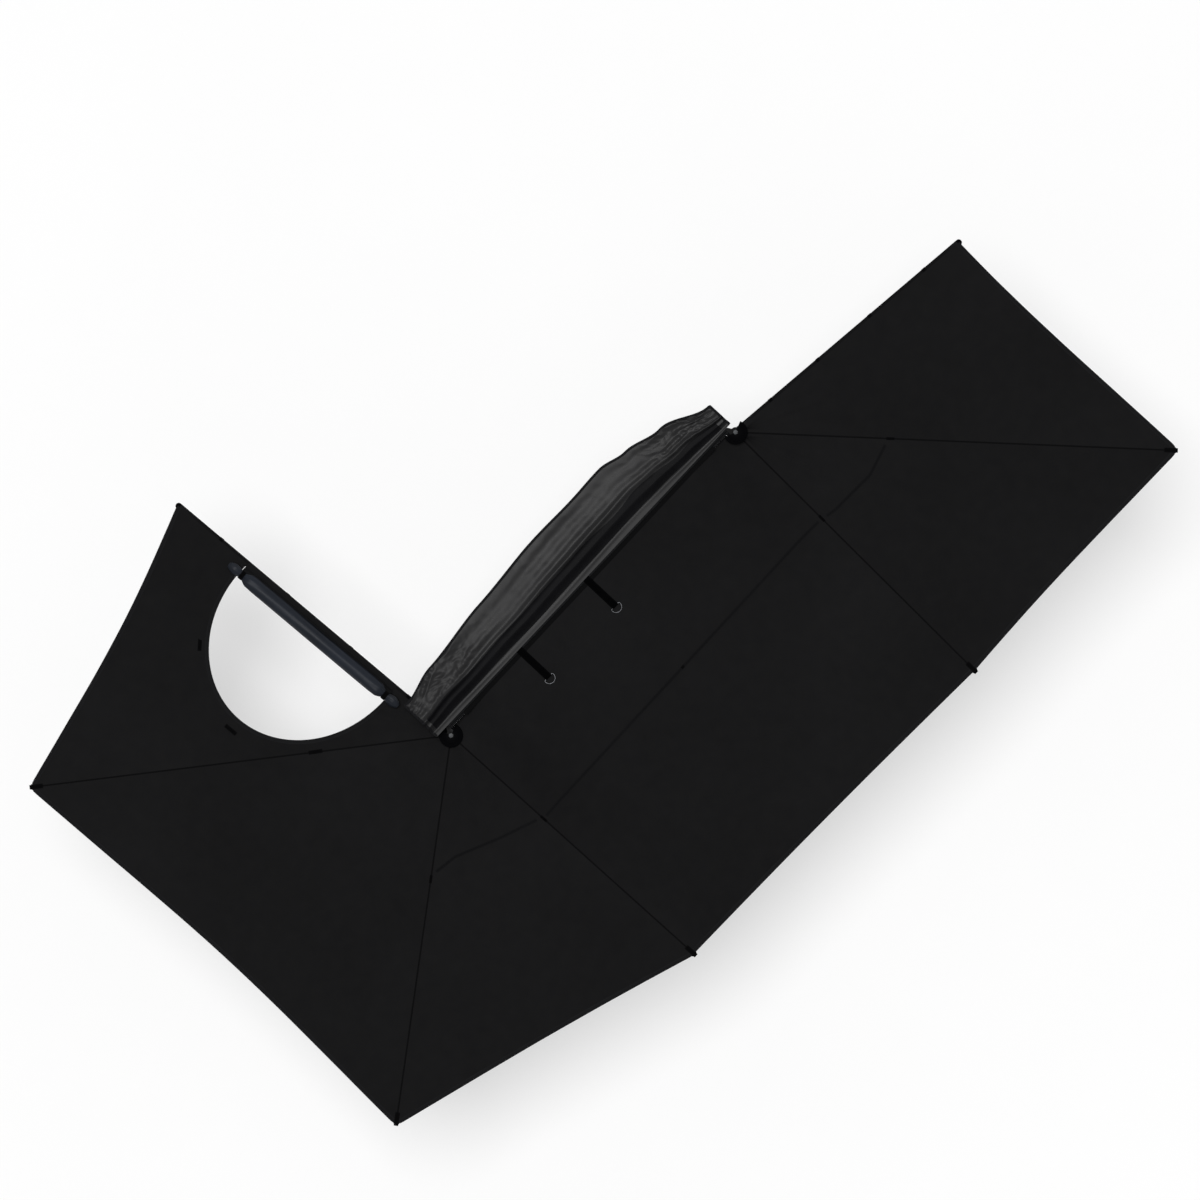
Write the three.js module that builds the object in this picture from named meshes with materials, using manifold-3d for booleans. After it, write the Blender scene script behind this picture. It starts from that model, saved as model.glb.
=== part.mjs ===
// A self-supporting wrap-around awning, open: fabric panels on arms that fan out from two hubs.
// Lengths are in millimetres. X runs forward along the back rail and Z is up.
// The back of the rail faces +Y, and the canopy reaches out to -Y.
// The origin is the middle of the underside of the middle mounting bracket's foot.

import * as THREE from "three";
import { mergeVertices } from "three/addons/utils/BufferGeometryUtils.js";
import Module from "manifold-3d";

const wasm = await Module();
wasm.setup();

// Driving dimensions

const gap = 0.4;
const pivotSpacing = 2410;
const railDepth = 34;
const railAboveFoot = 114;
const railBelowFoot = 60;
const pivotFromRail = 28;
const footDepth = 110;
const armWidth = 38;
const armHeight = 16;
const armWall = 2;
const levelSpace = 6;
const stackAboveRailBottom = 14;
const clothThickness = 1.2;

// Places that follow from them

const railBackY = gap - footDepth / 2;
const railFaceY = railBackY - railDepth;
const railTopZ = railAboveFoot;
const railBottomZ = -railBelowFoot;
const pivotY = railFaceY - pivotFromRail;
const stackBottomZ = railBottomZ + stackAboveRailBottom;
const levelPitch = armHeight + levelSpace;

// Each hub has a vertical king pin, and side says which way its folded arms point along the rail

const hubs = {
  rear: { x: -pivotSpacing / 2, side: 1, firstLevel: 0, lastLevel: 3 },
  front: { x: pivotSpacing / 2, side: -1, firstLevel: 4, lastLevel: 6 },
};

// Reach of each arm, from the king pin to the tip

const reach = { arm1: 2089, arm2: 2465, arm3: 2286, arm4: 1909, arm5: 1972, arm6: 2564, arm7: 1716 };

// The arms lie in a stack when they are folded. Level counts from below, and open is the angle
// from folded to open.

const arms = {
  1: { hub: hubs.rear, level: 0, open: 266.9, reach: reach.arm1 },
  2: { hub: hubs.rear, level: 1, open: 219.8, reach: reach.arm2 },
  3: { hub: hubs.rear, level: 2, open: 144.9, reach: reach.arm3 },
  4: { hub: hubs.rear, level: 3, open: 88.8, reach: reach.arm4 },
  5: { hub: hubs.front, level: 4, open: 88.3, reach: reach.arm5 },
  6: { hub: hubs.front, level: 5, open: 130.8, reach: reach.arm6 },
  7: { hub: hubs.front, level: 6, open: 173.5, reach: reach.arm7 },
};

// Finishes

const finishes = {
  rail: { color: 0x17181a, roughness: 0.45, metalness: 0.6 },
  bracket: { color: 0x1a1b1c, roughness: 0.5, metalness: 0.5 },
  bright: { color: 0xa9abad, roughness: 0.35, metalness: 0.9 },
  arm: { color: 0x141516, roughness: 0.4, metalness: 0.6 },
  nylon: { color: 0x0d0d0e, roughness: 0.6, metalness: 0 },
  canvas: { color: 0x1d1e1f, roughness: 0.9, metalness: 0 },
  cover: { color: 0x3f4042, roughness: 0.4, metalness: 0 },
  webbing: { color: 0x0c0c0d, roughness: 0.85, metalness: 0 },
  flap: { color: 0x2a2f36, roughness: 0.7, metalness: 0 },
};

const awning = new THREE.Group();

function add(parent, name, geometry, finish) {
  const material = new THREE.MeshStandardMaterial(finishes[finish]);
  const mesh = new THREE.Mesh(geometry, material);
  mesh.name = name;
  parent.add(mesh);
  return mesh;
}

// Geometry helpers

function toSolid(geometry) {
  const plain = geometry.clone();
  plain.deleteAttribute("normal");
  plain.deleteAttribute("uv");
  const merged = mergeVertices(plain);
  const vertProperties = new Float32Array(merged.attributes.position.array);
  const triVerts = new Uint32Array(merged.index.array);
  return new wasm.Manifold(new wasm.Mesh({ numProp: 3, vertProperties, triVerts }));
}

function toGeometry(solid) {
  const mesh = solid.getMesh();
  const geometry = new THREE.BufferGeometry();
  geometry.setAttribute("position", new THREE.BufferAttribute(mesh.vertProperties, 3));
  geometry.setIndex(new THREE.BufferAttribute(mesh.triVerts, 1));
  geometry.computeVertexNormals();
  return geometry;
}

function join(geometries) {
  return geometries.map(toSolid).reduce((whole, piece) => whole.add(piece));
}

function cut(solid, geometries) {
  return geometries.map(toSolid).reduce((rest, hole) => rest.subtract(hole), solid);
}

function box(low, high) {
  const size = high.map((value, axis) => value - low[axis]);
  const middle = high.map((value, axis) => (value + low[axis]) / 2);
  return new THREE.BoxGeometry(...size).translate(...middle);
}

// A round or many-sided bar that stands along Z
function upright(radius, lowZ, highZ, sides) {
  const bar = new THREE.CylinderGeometry(radius, radius, highZ - lowZ, sides);
  return bar.rotateX(Math.PI / 2).translate(0, 0, (lowZ + highZ) / 2);
}

const curveSteps = 10;

// A flat outline in X and Y, raised from lowZ to highZ
function raised(shape, lowZ, highZ) {
  const options = { depth: highZ - lowZ, bevelEnabled: false, curveSegments: curveSteps };
  return new THREE.ExtrudeGeometry(shape, options).translate(0, 0, lowZ);
}

// A section drawn in Y and Z, drawn out along X from lowX to highX
function drawnOut(section, lowX, highX) {
  const options = { depth: highX - lowX, bevelEnabled: false, curveSegments: curveSteps };
  const turn = new THREE.Matrix4().makeBasis(
    new THREE.Vector3(0, 1, 0),
    new THREE.Vector3(0, 0, 1),
    new THREE.Vector3(1, 0, 0),
  );
  return new THREE.ExtrudeGeometry(section, options).applyMatrix4(turn).translate(lowX, 0, 0);
}

function rectangle(lowX, lowY, highX, highY) {
  const corners = [
    [lowX, lowY],
    [highX, lowY],
    [highX, highY],
    [lowX, highY],
  ];
  return new THREE.Shape(corners.map(([x, y]) => new THREE.Vector2(x, y)));
}

function indexed(points, faces) {
  const geometry = new THREE.BufferGeometry();
  const flat = points.flatMap((point) => [point.x, point.y, point.z]);
  geometry.setAttribute("position", new THREE.Float32BufferAttribute(flat, 3));
  geometry.setIndex(faces);
  geometry.computeVertexNormals();
  return geometry;
}

// A closed cloth from a grid of points on its underside. Columns run to the left of the rows.
function cloth(rows, thickness) {
  const width = rows[0].length;
  const under = rows.flat();
  const over = under.map((point) => point.clone().add(new THREE.Vector3(0, 0, thickness)));
  const faces = [];
  const quad = (a, b, c, d) => faces.push(a, b, c, a, c, d);
  const top = under.length;
  for (let i = 0; i + 1 < rows.length; i += 1) {
    for (let j = 0; j + 1 < width; j += 1) {
      const a = i * width + j;
      quad(a, a + 1, a + width + 1, a + width);
      quad(top + a, top + a + width, top + a + width + 1, top + a + 1);
    }
  }
  const rim = [];
  for (let j = 0; j + 1 < width; j += 1) rim.push(j);
  for (let i = 0; i + 1 < rows.length; i += 1) rim.push(i * width + width - 1);
  for (let j = width - 1; j > 0; j -= 1) rim.push((rows.length - 1) * width + j);
  for (let i = rows.length - 1; i > 0; i -= 1) rim.push(i * width);
  rim.forEach((here, k) => {
    const next = rim[(k + 1) % rim.length];
    quad(here, top + here, top + next, next);
  });
  return indexed(under.concat(over), faces);
}

// A solid through rings of equal point counts, closed at both ends or round on itself
function loft(rings, ring) {
  const count = rings[0].length;
  const points = rings.flat();
  const faces = [];
  const spans = ring ? rings.length : rings.length - 1;
  for (let i = 0; i < spans; i += 1) {
    const here = i * count;
    const next = ((i + 1) % rings.length) * count;
    for (let j = 0; j < count; j += 1) {
      const k = (j + 1) % count;
      faces.push(here + j, here + k, next + k, here + j, next + k, next + j);
    }
  }
  if (!ring) {
    const last = (rings.length - 1) * count;
    for (let j = 1; j + 1 < count; j += 1) {
      faces.push(0, j + 1, j, last, last + j, last + j + 1);
    }
  }
  return indexed(points, faces);
}

const mix = (from, to, share) => from + (to - from) * share;
const clamp = (value) => Math.min(1, Math.max(0, value));
const smooth = (value) => clamp(value) ** 2 * (3 - 2 * clamp(value));
const radians = THREE.MathUtils.degToRad;

// Heights of the arm levels

const armBottomZ = (level) => stackBottomZ + level * levelPitch;
const armTopZ = (level) => armBottomZ(level) + armHeight;

// A point in plan at an angle from folded and a distance from a hub's king pin
function fromHub(hub, angle, distance) {
  const x = hub.x + hub.side * distance * Math.cos(angle);
  return new THREE.Vector2(x, pivotY - distance * Math.sin(angle));
}

// Clamp bolts: a head in the rail's T slot and a nut outside the plate that it clamps

const clampHead = { width: 15.8, length: 20, height: 7 };
const clampNut = { radius: 7.5, height: 7 };
const clampShank = 4;
const clampEnd = 4;
const clampPlay = 0.6;
const boltHole = clampShank + clampPlay;
const slotLip = 3;
const boltSides = 12;
const hexSides = 6;

// A bar along Y
function alongY(radius, x, z, lowY, highY, sides) {
  const bar = new THREE.CylinderGeometry(radius, radius, highY - lowY, sides);
  return bar.translate(x, (lowY + highY) / 2, z);
}

// Y counts from the rail's back face, outwards
function clampBolt(plate) {
  const nutY = plate + 2 * gap;
  const headTop = -slotLip - gap;
  const head = box(
    [-clampHead.length / 2, headTop - clampHead.height, -clampHead.width / 2],
    [clampHead.length / 2, headTop, clampHead.width / 2],
  );
  const shankEnd = nutY + clampNut.height + clampEnd;
  const shank = alongY(clampShank, 0, 0, headTop, shankEnd, boltSides);
  const nut = alongY(clampNut.radius, 0, 0, nutY, nutY + clampNut.height, hexSides);
  return toGeometry(join([head, shank, nut]));
}

// Back rail: a hollow extrusion with two T slots behind and a groove for the canopy's edge on top

const railSetBack = 30;
const railWall = 3;
const slotSpare = 1.6;
const lowerSlotUp = 55;
const upperSlotDown = 42;
const groove = { opening: 4, width: 8, lip: 2.5, depth: 9 };
const grooveFromFace = 12;

const slot = {
  opening: 2 * (clampShank + gap),
  width: clampHead.width + 2 * gap,
  lip: slotLip,
  depth: slotLip + gap + clampHead.height + slotSpare,
};
const lowerSlotZ = railBottomZ + lowerSlotUp;
const upperSlotZ = railTopZ - upperSlotDown;
const slotHeights = [lowerSlotZ, upperSlotZ];

// The points of a slot's outline, across the face and into it
function slotPoints({ opening, width, lip, depth }) {
  return [
    [-opening / 2, 0],
    [-opening / 2, lip],
    [-width / 2, lip],
    [-width / 2, depth],
    [width / 2, depth],
    [width / 2, lip],
    [opening / 2, lip],
    [opening / 2, 0],
  ];
}

function railSection() {
  const back = slotHeights.flatMap((z) =>
    slotPoints(slot).map(([across, into]) => [railBackY - into, z + across]),
  );
  const top = slotPoints(groove).map(([across, into]) => [
    railFaceY + grooveFromFace - across,
    railTopZ - into,
  ]);
  const outline = [
    [railFaceY, railBottomZ],
    [railBackY, railBottomZ],
    ...back,
    [railBackY, railTopZ],
    ...top,
    [railFaceY, railTopZ],
  ];
  const section = new THREE.Shape(outline.map(([y, z]) => new THREE.Vector2(y, z)));
  const limits = [railBottomZ, ...slotHeights, railTopZ - groove.depth];
  const cellBackY = railBackY - slot.depth - railWall;
  for (let i = 0; i + 1 < limits.length; i += 1) {
    const lowZ = limits[i] + railWall;
    const highZ = limits[i + 1] - railWall;
    section.holes.push(rectangle(railFaceY + railWall, lowZ, cellBackY, highZ));
  }
  return section;
}

function makeRail() {
  const endX = pivotSpacing / 2 - railSetBack;
  add(awning, "back_rail", drawnOut(railSection(), -endX, endX), "rail");
}

// Hub brackets: two plates round the stack of arm ends, held by a web on the rail's end

const pinRadius = 8;
const pinPlay = 0.5;
const plateThickness = 8;
const plateRadius = 29;
const plateClearance = 1;
const knuckleRadius = 22;
const knuckleClearance = 2;
const webThickness = 5.6;
const flangeThickness = 6;
const flangeMargin = 18;
const hubBoltFirst = 58;
const hubBoltPitch = 46;
const roundSides = 24;

const pinHole = pinRadius + pinPlay;
const knuckleHeight = levelPitch - knuckleClearance;
const hubBoltPlaces = [hubBoltFirst, hubBoltFirst + hubBoltPitch];
const flangeLength = hubBoltFirst + hubBoltPitch + flangeMargin;
const webOuter = railSetBack - gap;
const webInner = webOuter - webThickness;
const flangeInnerY = pivotFromRail + railDepth + gap;
const flangeOuterY = flangeInnerY + flangeThickness;

// Lowest and highest face of each of a hub's two plates
function plateHeights(hub) {
  const overhang = (knuckleHeight - armHeight) / 2 + plateClearance;
  const lower = armBottomZ(hub.firstLevel) - overhang;
  const upper = armTopZ(hub.lastLevel) + overhang;
  return { low: lower - plateThickness, lower, upper, high: upper + plateThickness };
}

function plateOutline(side) {
  const outline = new THREE.Shape();
  outline.absarc(0, 0, plateRadius, Math.PI / 2, -Math.PI / 2, side < 0);
  outline.lineTo(side * webOuter, -plateRadius);
  outline.lineTo(side * webOuter, flangeOuterY);
  outline.lineTo(side * webInner, flangeOuterY);
  return outline;
}

// A box given by its reach from the pin towards the middle of the rail
function hubBox(side, nearX, lowY, lowZ, farX, highY, highZ) {
  const xs = [side * nearX, side * farX].sort((a, b) => a - b);
  return box([xs[0], lowY, lowZ], [xs[1], highY, highZ]);
}

function hubBracketSolid(hub, slotZ) {
  const { low, lower, upper, high } = plateHeights(hub);
  const webFromY = pivotFromRail + gap;
  const body = join([
    raised(plateOutline(hub.side), low, lower),
    raised(plateOutline(hub.side), upper, high),
    hubBox(hub.side, webInner, webFromY, low, webOuter, flangeOuterY, high),
    hubBox(hub.side, webInner, flangeInnerY, low, flangeLength, flangeOuterY, high),
  ]);
  const bolts = hubBoltPlaces.map((x) =>
    alongY(boltHole, hub.side * x, slotZ, flangeInnerY - gap, flangeOuterY + gap, boltSides),
  );
  return cut(body, [upright(pinHole, low - gap, high + gap, roundSides), ...bolts]);
}

function makeHub(name, hub, slotZ) {
  const group = new THREE.Group();
  group.position.set(hub.x, pivotY, 0);
  awning.add(group);
  add(group, `${name}_hub_bracket`, toGeometry(hubBracketSolid(hub, slotZ)), "bracket");
  makeKingPin(group, name, plateHeights(hub));
  hubBoltPlaces.forEach((x, i) => {
    const bolt = add(group, `${name}_hub_bolt_${i + 1}`, clampBolt(flangeThickness), "bright");
    bolt.position.set(hub.side * x, flangeInnerY - gap, slotZ);
  });
}

// King pins with a six-sided head, and their nuts

const pinHead = { radius: 15, height: 8 };
const pinNut = { radius: 15, height: 10 };
const pinEnd = 3;

function makeKingPin(group, name, { low, high }) {
  const nutTop = low - gap;
  const nutBottom = nutTop - pinNut.height;
  const head = upright(pinHead.radius, high + gap, high + gap + pinHead.height, hexSides);
  const shank = upright(pinRadius, nutBottom - pinEnd, high + gap, roundSides);
  add(group, `${name}_king_pin`, toGeometry(join([head, shank])), "bright");
  const nut = toSolid(upright(pinNut.radius, nutBottom, nutTop, hexSides));
  const hole = upright(pinHole, nutBottom - gap, nutTop + gap, roundSides);
  add(group, `${name}_king_nut`, toGeometry(cut(nut, [hole])), "bright");
}

// Mounting brackets: an angle plate on a foot, bolted to the rail's back

const bracketWidth = 76;
const footThickness = 8;
const legThickness = 6;
const legAboveSlot = 28;
const ribThickness = 6;
const ribReach = 62;
const legBoltPitch = 48;
const footHolePitch = 48;
const bracketSpacing = 820;

const legHeight = upperSlotZ + legAboveSlot;
const legBoltPlaces = [-legBoltPitch / 2, legBoltPitch / 2];
const footHolePlaces = [-footHolePitch / 2, footHolePitch / 2];
const bracketPlaces = { rear: -bracketSpacing, middle: 0, front: bracketSpacing };

function mountingBracketSolid() {
  const backY = railBackY + gap;
  const legOuterY = backY + legThickness;
  const foot = box([-bracketWidth / 2, backY, 0], [bracketWidth / 2, footDepth / 2, footThickness]);
  const leg = box([-bracketWidth / 2, backY, 0], [bracketWidth / 2, legOuterY, legHeight]);
  const ribOutline = new THREE.Shape([
    new THREE.Vector2(backY + legThickness / 2, footThickness / 2),
    new THREE.Vector2(legOuterY + ribReach, footThickness / 2),
    new THREE.Vector2(legOuterY + ribReach, footThickness),
    new THREE.Vector2(backY + legThickness / 2, legHeight - footThickness),
  ]);
  const rib = drawnOut(ribOutline, -ribThickness / 2, ribThickness / 2);
  const legHoles = legBoltPlaces.map((x) =>
    alongY(boltHole, x, upperSlotZ, backY - gap, legOuterY + gap, boltSides),
  );
  const footHoles = footHolePlaces.map((x) =>
    upright(boltHole, -gap, footThickness + gap, boltSides).translate(x, footDepth / 4, 0),
  );
  return cut(join([foot, leg, rib]), [...legHoles, ...footHoles]);
}

function makeMountingBrackets() {
  const bracket = toGeometry(mountingBracketSolid());
  for (const [name, x] of Object.entries(bracketPlaces)) {
    const group = new THREE.Group();
    group.position.x = x;
    awning.add(group);
    add(group, `mounting_bracket_${name}`, bracket, "bracket");
    legBoltPlaces.forEach((place, i) => {
      const bolt = add(group, `mounting_bolt_${name}_${i + 1}`, clampBolt(legThickness), "bright");
      bolt.position.set(place, railBackY, upperSlotZ);
    });
  }
}

// Arms: a knuckle on the king pin, a hollow bar over its tongue, and a plugged tip cap

const barStart = 64;
const tongueLength = 80;
const capLength = 26;
const capPlug = 30;
const insideWidth = armWidth - 2 * armWall - 2 * gap;
const insideHeight = armHeight - 2 * armWall - 2 * gap;

function knuckleSolid() {
  const overhang = (knuckleHeight - armHeight) / 2;
  const tongueLowZ = (armHeight - insideHeight) / 2;
  const tongueEnd = barStart + tongueLength;
  const neckStart = knuckleRadius / 2;
  const body = join([
    upright(knuckleRadius, -overhang, armHeight + overhang, roundSides),
    box([neckStart, -armWidth / 2, 0], [barStart, armWidth / 2, armHeight]),
    box([neckStart, -insideWidth / 2, tongueLowZ], [tongueEnd, insideWidth / 2, armHeight - tongueLowZ]),
  ]);
  return cut(body, [upright(pinHole, -armHeight, 2 * armHeight, roundSides)]);
}

function barGeometry(length) {
  const half = armWidth / 2;
  const section = rectangle(-half, 0, half, armHeight);
  section.holes.push(rectangle(armWall - half, armWall, half - armWall, armHeight - armWall));
  return drawnOut(section, 0, length);
}

// The cap starts at zero, with its plug behind it
function capSolid() {
  const half = armWidth / 2;
  const outline = new THREE.Shape();
  outline.moveTo(0, -half);
  outline.lineTo(capLength - half, -half);
  outline.absarc(capLength - half, 0, half, -Math.PI / 2, Math.PI / 2, false);
  outline.lineTo(0, half);
  const plugLowZ = (armHeight - insideHeight) / 2;
  const plug = box([-capPlug, -insideWidth / 2, plugLowZ], [gap, insideWidth / 2, armHeight - plugLowZ]);
  return join([raised(outline, 0, armHeight), plug]);
}

function armGroup(arm) {
  const group = new THREE.Group();
  group.position.set(arm.hub.x, pivotY, armBottomZ(arm.level));
  group.rotation.z = arm.hub.side > 0 ? -radians(arm.open) : Math.PI + radians(arm.open);
  awning.add(group);
  return group;
}

function makeArms() {
  const knuckle = toGeometry(knuckleSolid());
  const cap = toGeometry(capSolid());
  for (const [number, arm] of Object.entries(arms)) {
    const group = armGroup(arm);
    const barEnd = arm.reach - capLength - gap;
    add(group, `knuckle_${number}`, knuckle, "nylon");
    const bar = add(group, `arm_${number}`, barGeometry(barEnd - barStart - gap), "arm");
    bar.position.x = barStart + gap;
    const tip = add(group, `tip_cap_${number}`, cap, "nylon");
    tip.position.x = barEnd + gap;
  }
}

// Canopy: a panel between each pair of neighbouring arms, flat over the arms that carry it

const clothStart = 90;
const clothShort = 14;
const seamGap = 0.6;
const armMargin = 2;
const overArm = armWidth / 2 + armMargin;
const edgeHollow = { main: 9, rear1: 2, rear2: 30, rear3: 29, front1: 6, front2: 10 };
const sag = 16;
const sectorRows = 9;
const sectorColumns = 10;

const clothZ = (level) => armTopZ(level) + gap;

// How far a place lies from the flat strip over one arm to that over the next, as a share
function acrossShare(fromFirst, fromSecond) {
  const first = Math.max(0, fromFirst - overArm);
  const second = Math.max(0, fromSecond - overArm);
  return first + second > 0 ? first / (first + second) : 0;
}

// The underside of a panel between two arms of one hub
function sectorZ(first, second, angle, distance) {
  const start = radians(first.open);
  const end = radians(second.open);
  const share = acrossShare(distance * Math.sin(angle - start), distance * Math.sin(end - angle));
  const hang = sag * Math.sin(Math.PI * share) * smooth(distance / first.reach);
  return mix(clothZ(first.level), clothZ(second.level), share) - hang;
}

// The canopy's outer edge, a nearly straight line from one arm's tip to the next
function sectorReach(first, second, hollow, share) {
  const spread = radians(second.open - first.open);
  const a = first.reach - clothShort;
  const b = second.reach - clothShort;
  const across = a * Math.sin(share * spread) + b * Math.sin((1 - share) * spread);
  return (a * b * Math.sin(spread)) / across - hollow * Math.sin(Math.PI * share);
}

// Angle of a column, where the two at each side keep their distance from the arm's middle line
function columnAngle(first, second, column, distance) {
  const start = radians(first.open);
  const end = radians(second.open);
  const near = start + Math.asin(overArm / distance);
  const far = end - Math.asin(overArm / distance);
  if (column === 0) return start + Math.asin(seamGap / distance);
  if (column === sectorColumns) return end - Math.asin(seamGap / distance);
  return mix(near, far, (column - 1) / (sectorColumns - 2));
}

function sectorCloth(first, second, hollow) {
  const rows = [];
  for (let i = 0; i <= sectorRows; i += 1) {
    const row = [];
    for (let j = 0; j <= sectorColumns; j += 1) {
      const share = clamp((j - 1) / (sectorColumns - 2));
      const distance = mix(clothStart, sectorReach(first, second, hollow, share), i / sectorRows);
      const angle = columnAngle(first, second, j, distance);
      const place = fromHub(first.hub, angle, distance);
      row.push(new THREE.Vector3(place.x, place.y, sectorZ(first, second, angle, distance)));
    }
    rows.push(first.hub.side > 0 ? row.reverse() : row);
  }
  return cloth(rows, clothThickness);
}

// Main panel: from the rail out to the line between the tips of arms 4 and 5

const mainRows = 12;
const mainColumns = 16;
const railEndColumn = 90;
const liftWidth = 320;
const liftFlat = 270;
const liftFade = 900;

function mainZ(place) {
  const outward = pivotY - place.y;
  const fromFirst = place.x - fromHub(hubs.rear, radians(arms[4].open), outward).x;
  const fromSecond = fromHub(hubs.front, radians(arms[5].open), outward).x - place.x;
  const share = acrossShare(fromFirst, fromSecond);
  const armZ = mix(clothZ(arms[4].level), clothZ(arms[5].level), share);
  const beside = smooth((Math.min(fromFirst, fromSecond) - overArm) / liftWidth);
  const railward = 1 - smooth((outward - liftFlat) / liftFade);
  const hang = sag * Math.sin(Math.PI * share) * smooth(outward / arms[4].reach);
  return mix(armZ, railTopZ - clothThickness, beside * railward) - hang;
}

// The inner and the outer end of a column of the main panel
function mainColumn(column) {
  const corners = [arms[4], arms[5]].map((arm) => ({
    inner: fromHub(arm.hub, radians(arm.open), clothStart),
    outer: fromHub(arm.hub, radians(arm.open), arm.reach - clothShort),
  }));
  const edges = { 0: [0, seamGap], 1: [0, overArm] };
  edges[mainColumns - 1] = [1, -overArm];
  edges[mainColumns] = [1, -seamGap];
  if (column in edges) {
    const [corner, offset] = edges[column];
    const { inner, outer } = corners[corner];
    return { inner: inner.clone().setX(inner.x + offset), outer: outer.clone().setX(outer.x + offset) };
  }
  const share = (column - 2) / (mainColumns - 4);
  const railEnd = pivotSpacing / 2 - railEndColumn;
  const inner = new THREE.Vector2(mix(-railEnd, railEnd, share), railFaceY - gap);
  const along = (column - 1) / (mainColumns - 2);
  const left = corners[0].outer.clone().setX(corners[0].outer.x + overArm);
  const right = corners[1].outer.clone().setX(corners[1].outer.x - overArm);
  const outer = left.lerp(right, along);
  outer.y += edgeHollow.main * Math.sin(Math.PI * along);
  return { inner, outer };
}

function mainCloth() {
  const columns = [];
  for (let j = 0; j <= mainColumns; j += 1) columns.push(mainColumn(j));
  const rows = [];
  for (let i = 0; i <= mainRows; i += 1) {
    const row = columns.map(({ inner, outer }) => {
      const place = inner.clone().lerp(outer, i / mainRows);
      return new THREE.Vector3(place.x, place.y, mainZ(place));
    });
    rows.push(row);
  }
  return cloth(rows, clothThickness);
}

// The D-shaped opening beside arm 1, half an ellipse placed from the rear king pin

const cutout = { centreX: -130, centreY: 985, halfLength: 560, depth: 645, pastArm: 160 };

function cutoutTool() {
  const outline = new THREE.Shape();
  outline.moveTo(cutout.pastArm, cutout.halfLength);
  outline.lineTo(0, cutout.halfLength);
  outline.absellipse(
    0, 0, cutout.depth, cutout.halfLength, Math.PI / 2, (3 * Math.PI) / 2, false, 0,
  );
  outline.lineTo(cutout.pastArm, -cutout.halfLength);
  const tool = raised(outline, railBottomZ, railTopZ);
  return tool.translate(hubs.rear.x + cutout.centreX, pivotY + cutout.centreY, 0);
}

function makeCanopy() {
  add(awning, "canopy_main", mainCloth(), "canvas");
  add(awning, "canopy_rear_1", sectorCloth(arms[4], arms[3], edgeHollow.rear1), "canvas");
  add(awning, "canopy_rear_2", sectorCloth(arms[3], arms[2], edgeHollow.rear2), "canvas");
  const whole = toSolid(sectorCloth(arms[2], arms[1], edgeHollow.rear3));
  add(awning, "canopy_rear_3", toGeometry(cut(whole, [cutoutTool()])), "canvas");
  add(awning, "canopy_front_1", sectorCloth(arms[5], arms[6], edgeHollow.front1), "canvas");
  add(awning, "canopy_front_2", sectorCloth(arms[6], arms[7], edgeHollow.front2), "canvas");
}

// Webbing tabs round the opening, which hold its flap when it is let down

const tab = { length: 80, width: 22, thickness: 3 };
const tabPlaces = [
  { turn: 134, outShare: 0.0837 },
  { turn: 182.5, outShare: 0.1225 },
  { turn: 227.9, outShare: 0.1178 },
];
const tabCorners = 4;

// Height of the rear canopy on either side of arm 2
function besideArm2Z(angle, distance) {
  const [first, second] = angle < radians(arms[2].open) ? [arms[3], arms[2]] : [arms[2], arms[1]];
  return sectorZ(first, second, angle, distance);
}

// The middle of a tab, from the rear king pin, and the way that its width points
function tabMiddle(turn, outShare) {
  const edge = new THREE.Vector2(cutout.depth * Math.cos(turn), cutout.halfLength * Math.sin(turn));
  const out = new THREE.Vector2(Math.cos(turn) / cutout.depth, Math.sin(turn) / cutout.halfLength);
  out.normalize();
  const middle = edge.addScaledVector(out, outShare * cutout.depth);
  return { x: cutout.centreX + middle.x, y: cutout.centreY + middle.y, facing: out.angle() };
}

function makeTabs() {
  tabPlaces.forEach(({ turn, outShare }, i) => {
    const { x, y, facing } = tabMiddle(radians(turn), outShare);
    const heights = [];
    for (let k = 0; k < tabCorners; k += 1) {
      const corner = (2 * Math.PI * (k + 1 / 2)) / tabCorners;
      const cornerX = x + (tab.length / 2) * Math.cos(corner);
      const cornerY = y + (tab.length / 2) * Math.sin(corner);
      const angle = (2 * Math.PI - Math.atan2(cornerY, cornerX)) % (2 * Math.PI);
      heights.push(besideArm2Z(angle, Math.hypot(cornerX, cornerY)));
    }
    const lowZ = Math.max(...heights) + clothThickness + gap;
    const plate = box([-tab.width / 2, -tab.length / 2, 0], [tab.width / 2, tab.length / 2, tab.thickness]);
    const piece = add(awning, `cutout_tab_${i + 1}`, plate, "webbing");
    piece.position.set(hubs.rear.x + x, pivotY + y, lowZ);
    piece.rotation.z = facing;
  });
}

// Rolled flap beside arm 1, tied near both ends, where its cloth bunches

const flapRadius = 50;
const bunchRadius = 42;
const waistRadius = 24;
const flapPast = 79;
const waistFromEnd = 98;
const bunchFromEnd = 40;
const shoulderFromEnd = 150;
const endRadius = 26;
const rollSides = 14;
const rollSteps = 10;
const foldShare = 0.02;
const foldTurns = 3;
const tieWidth = 26;
const tieThickness = 2.4;

const flapAside = armWidth / 2 + flapRadius + gap;
const flapEnds = {
  inner: cutout.centreY - cutout.halfLength - flapPast,
  outer: cutout.centreY + cutout.halfLength + flapPast,
};

// The roll rests on the canopy where its ends bunch, so it lies above the higher of the two places
const flapSeats = [flapEnds.inner + bunchFromEnd, flapEnds.outer - bunchFromEnd].map((along) => {
  const angle = radians(arms[1].open) - Math.atan2(flapAside, along);
  return sectorZ(arms[2], arms[1], angle, Math.hypot(along, flapAside));
});
const flapBottomZ = Math.max(...flapSeats) + clothThickness + gap;
const flapZ = flapBottomZ + bunchRadius - armBottomZ(arms[1].level);

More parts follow.
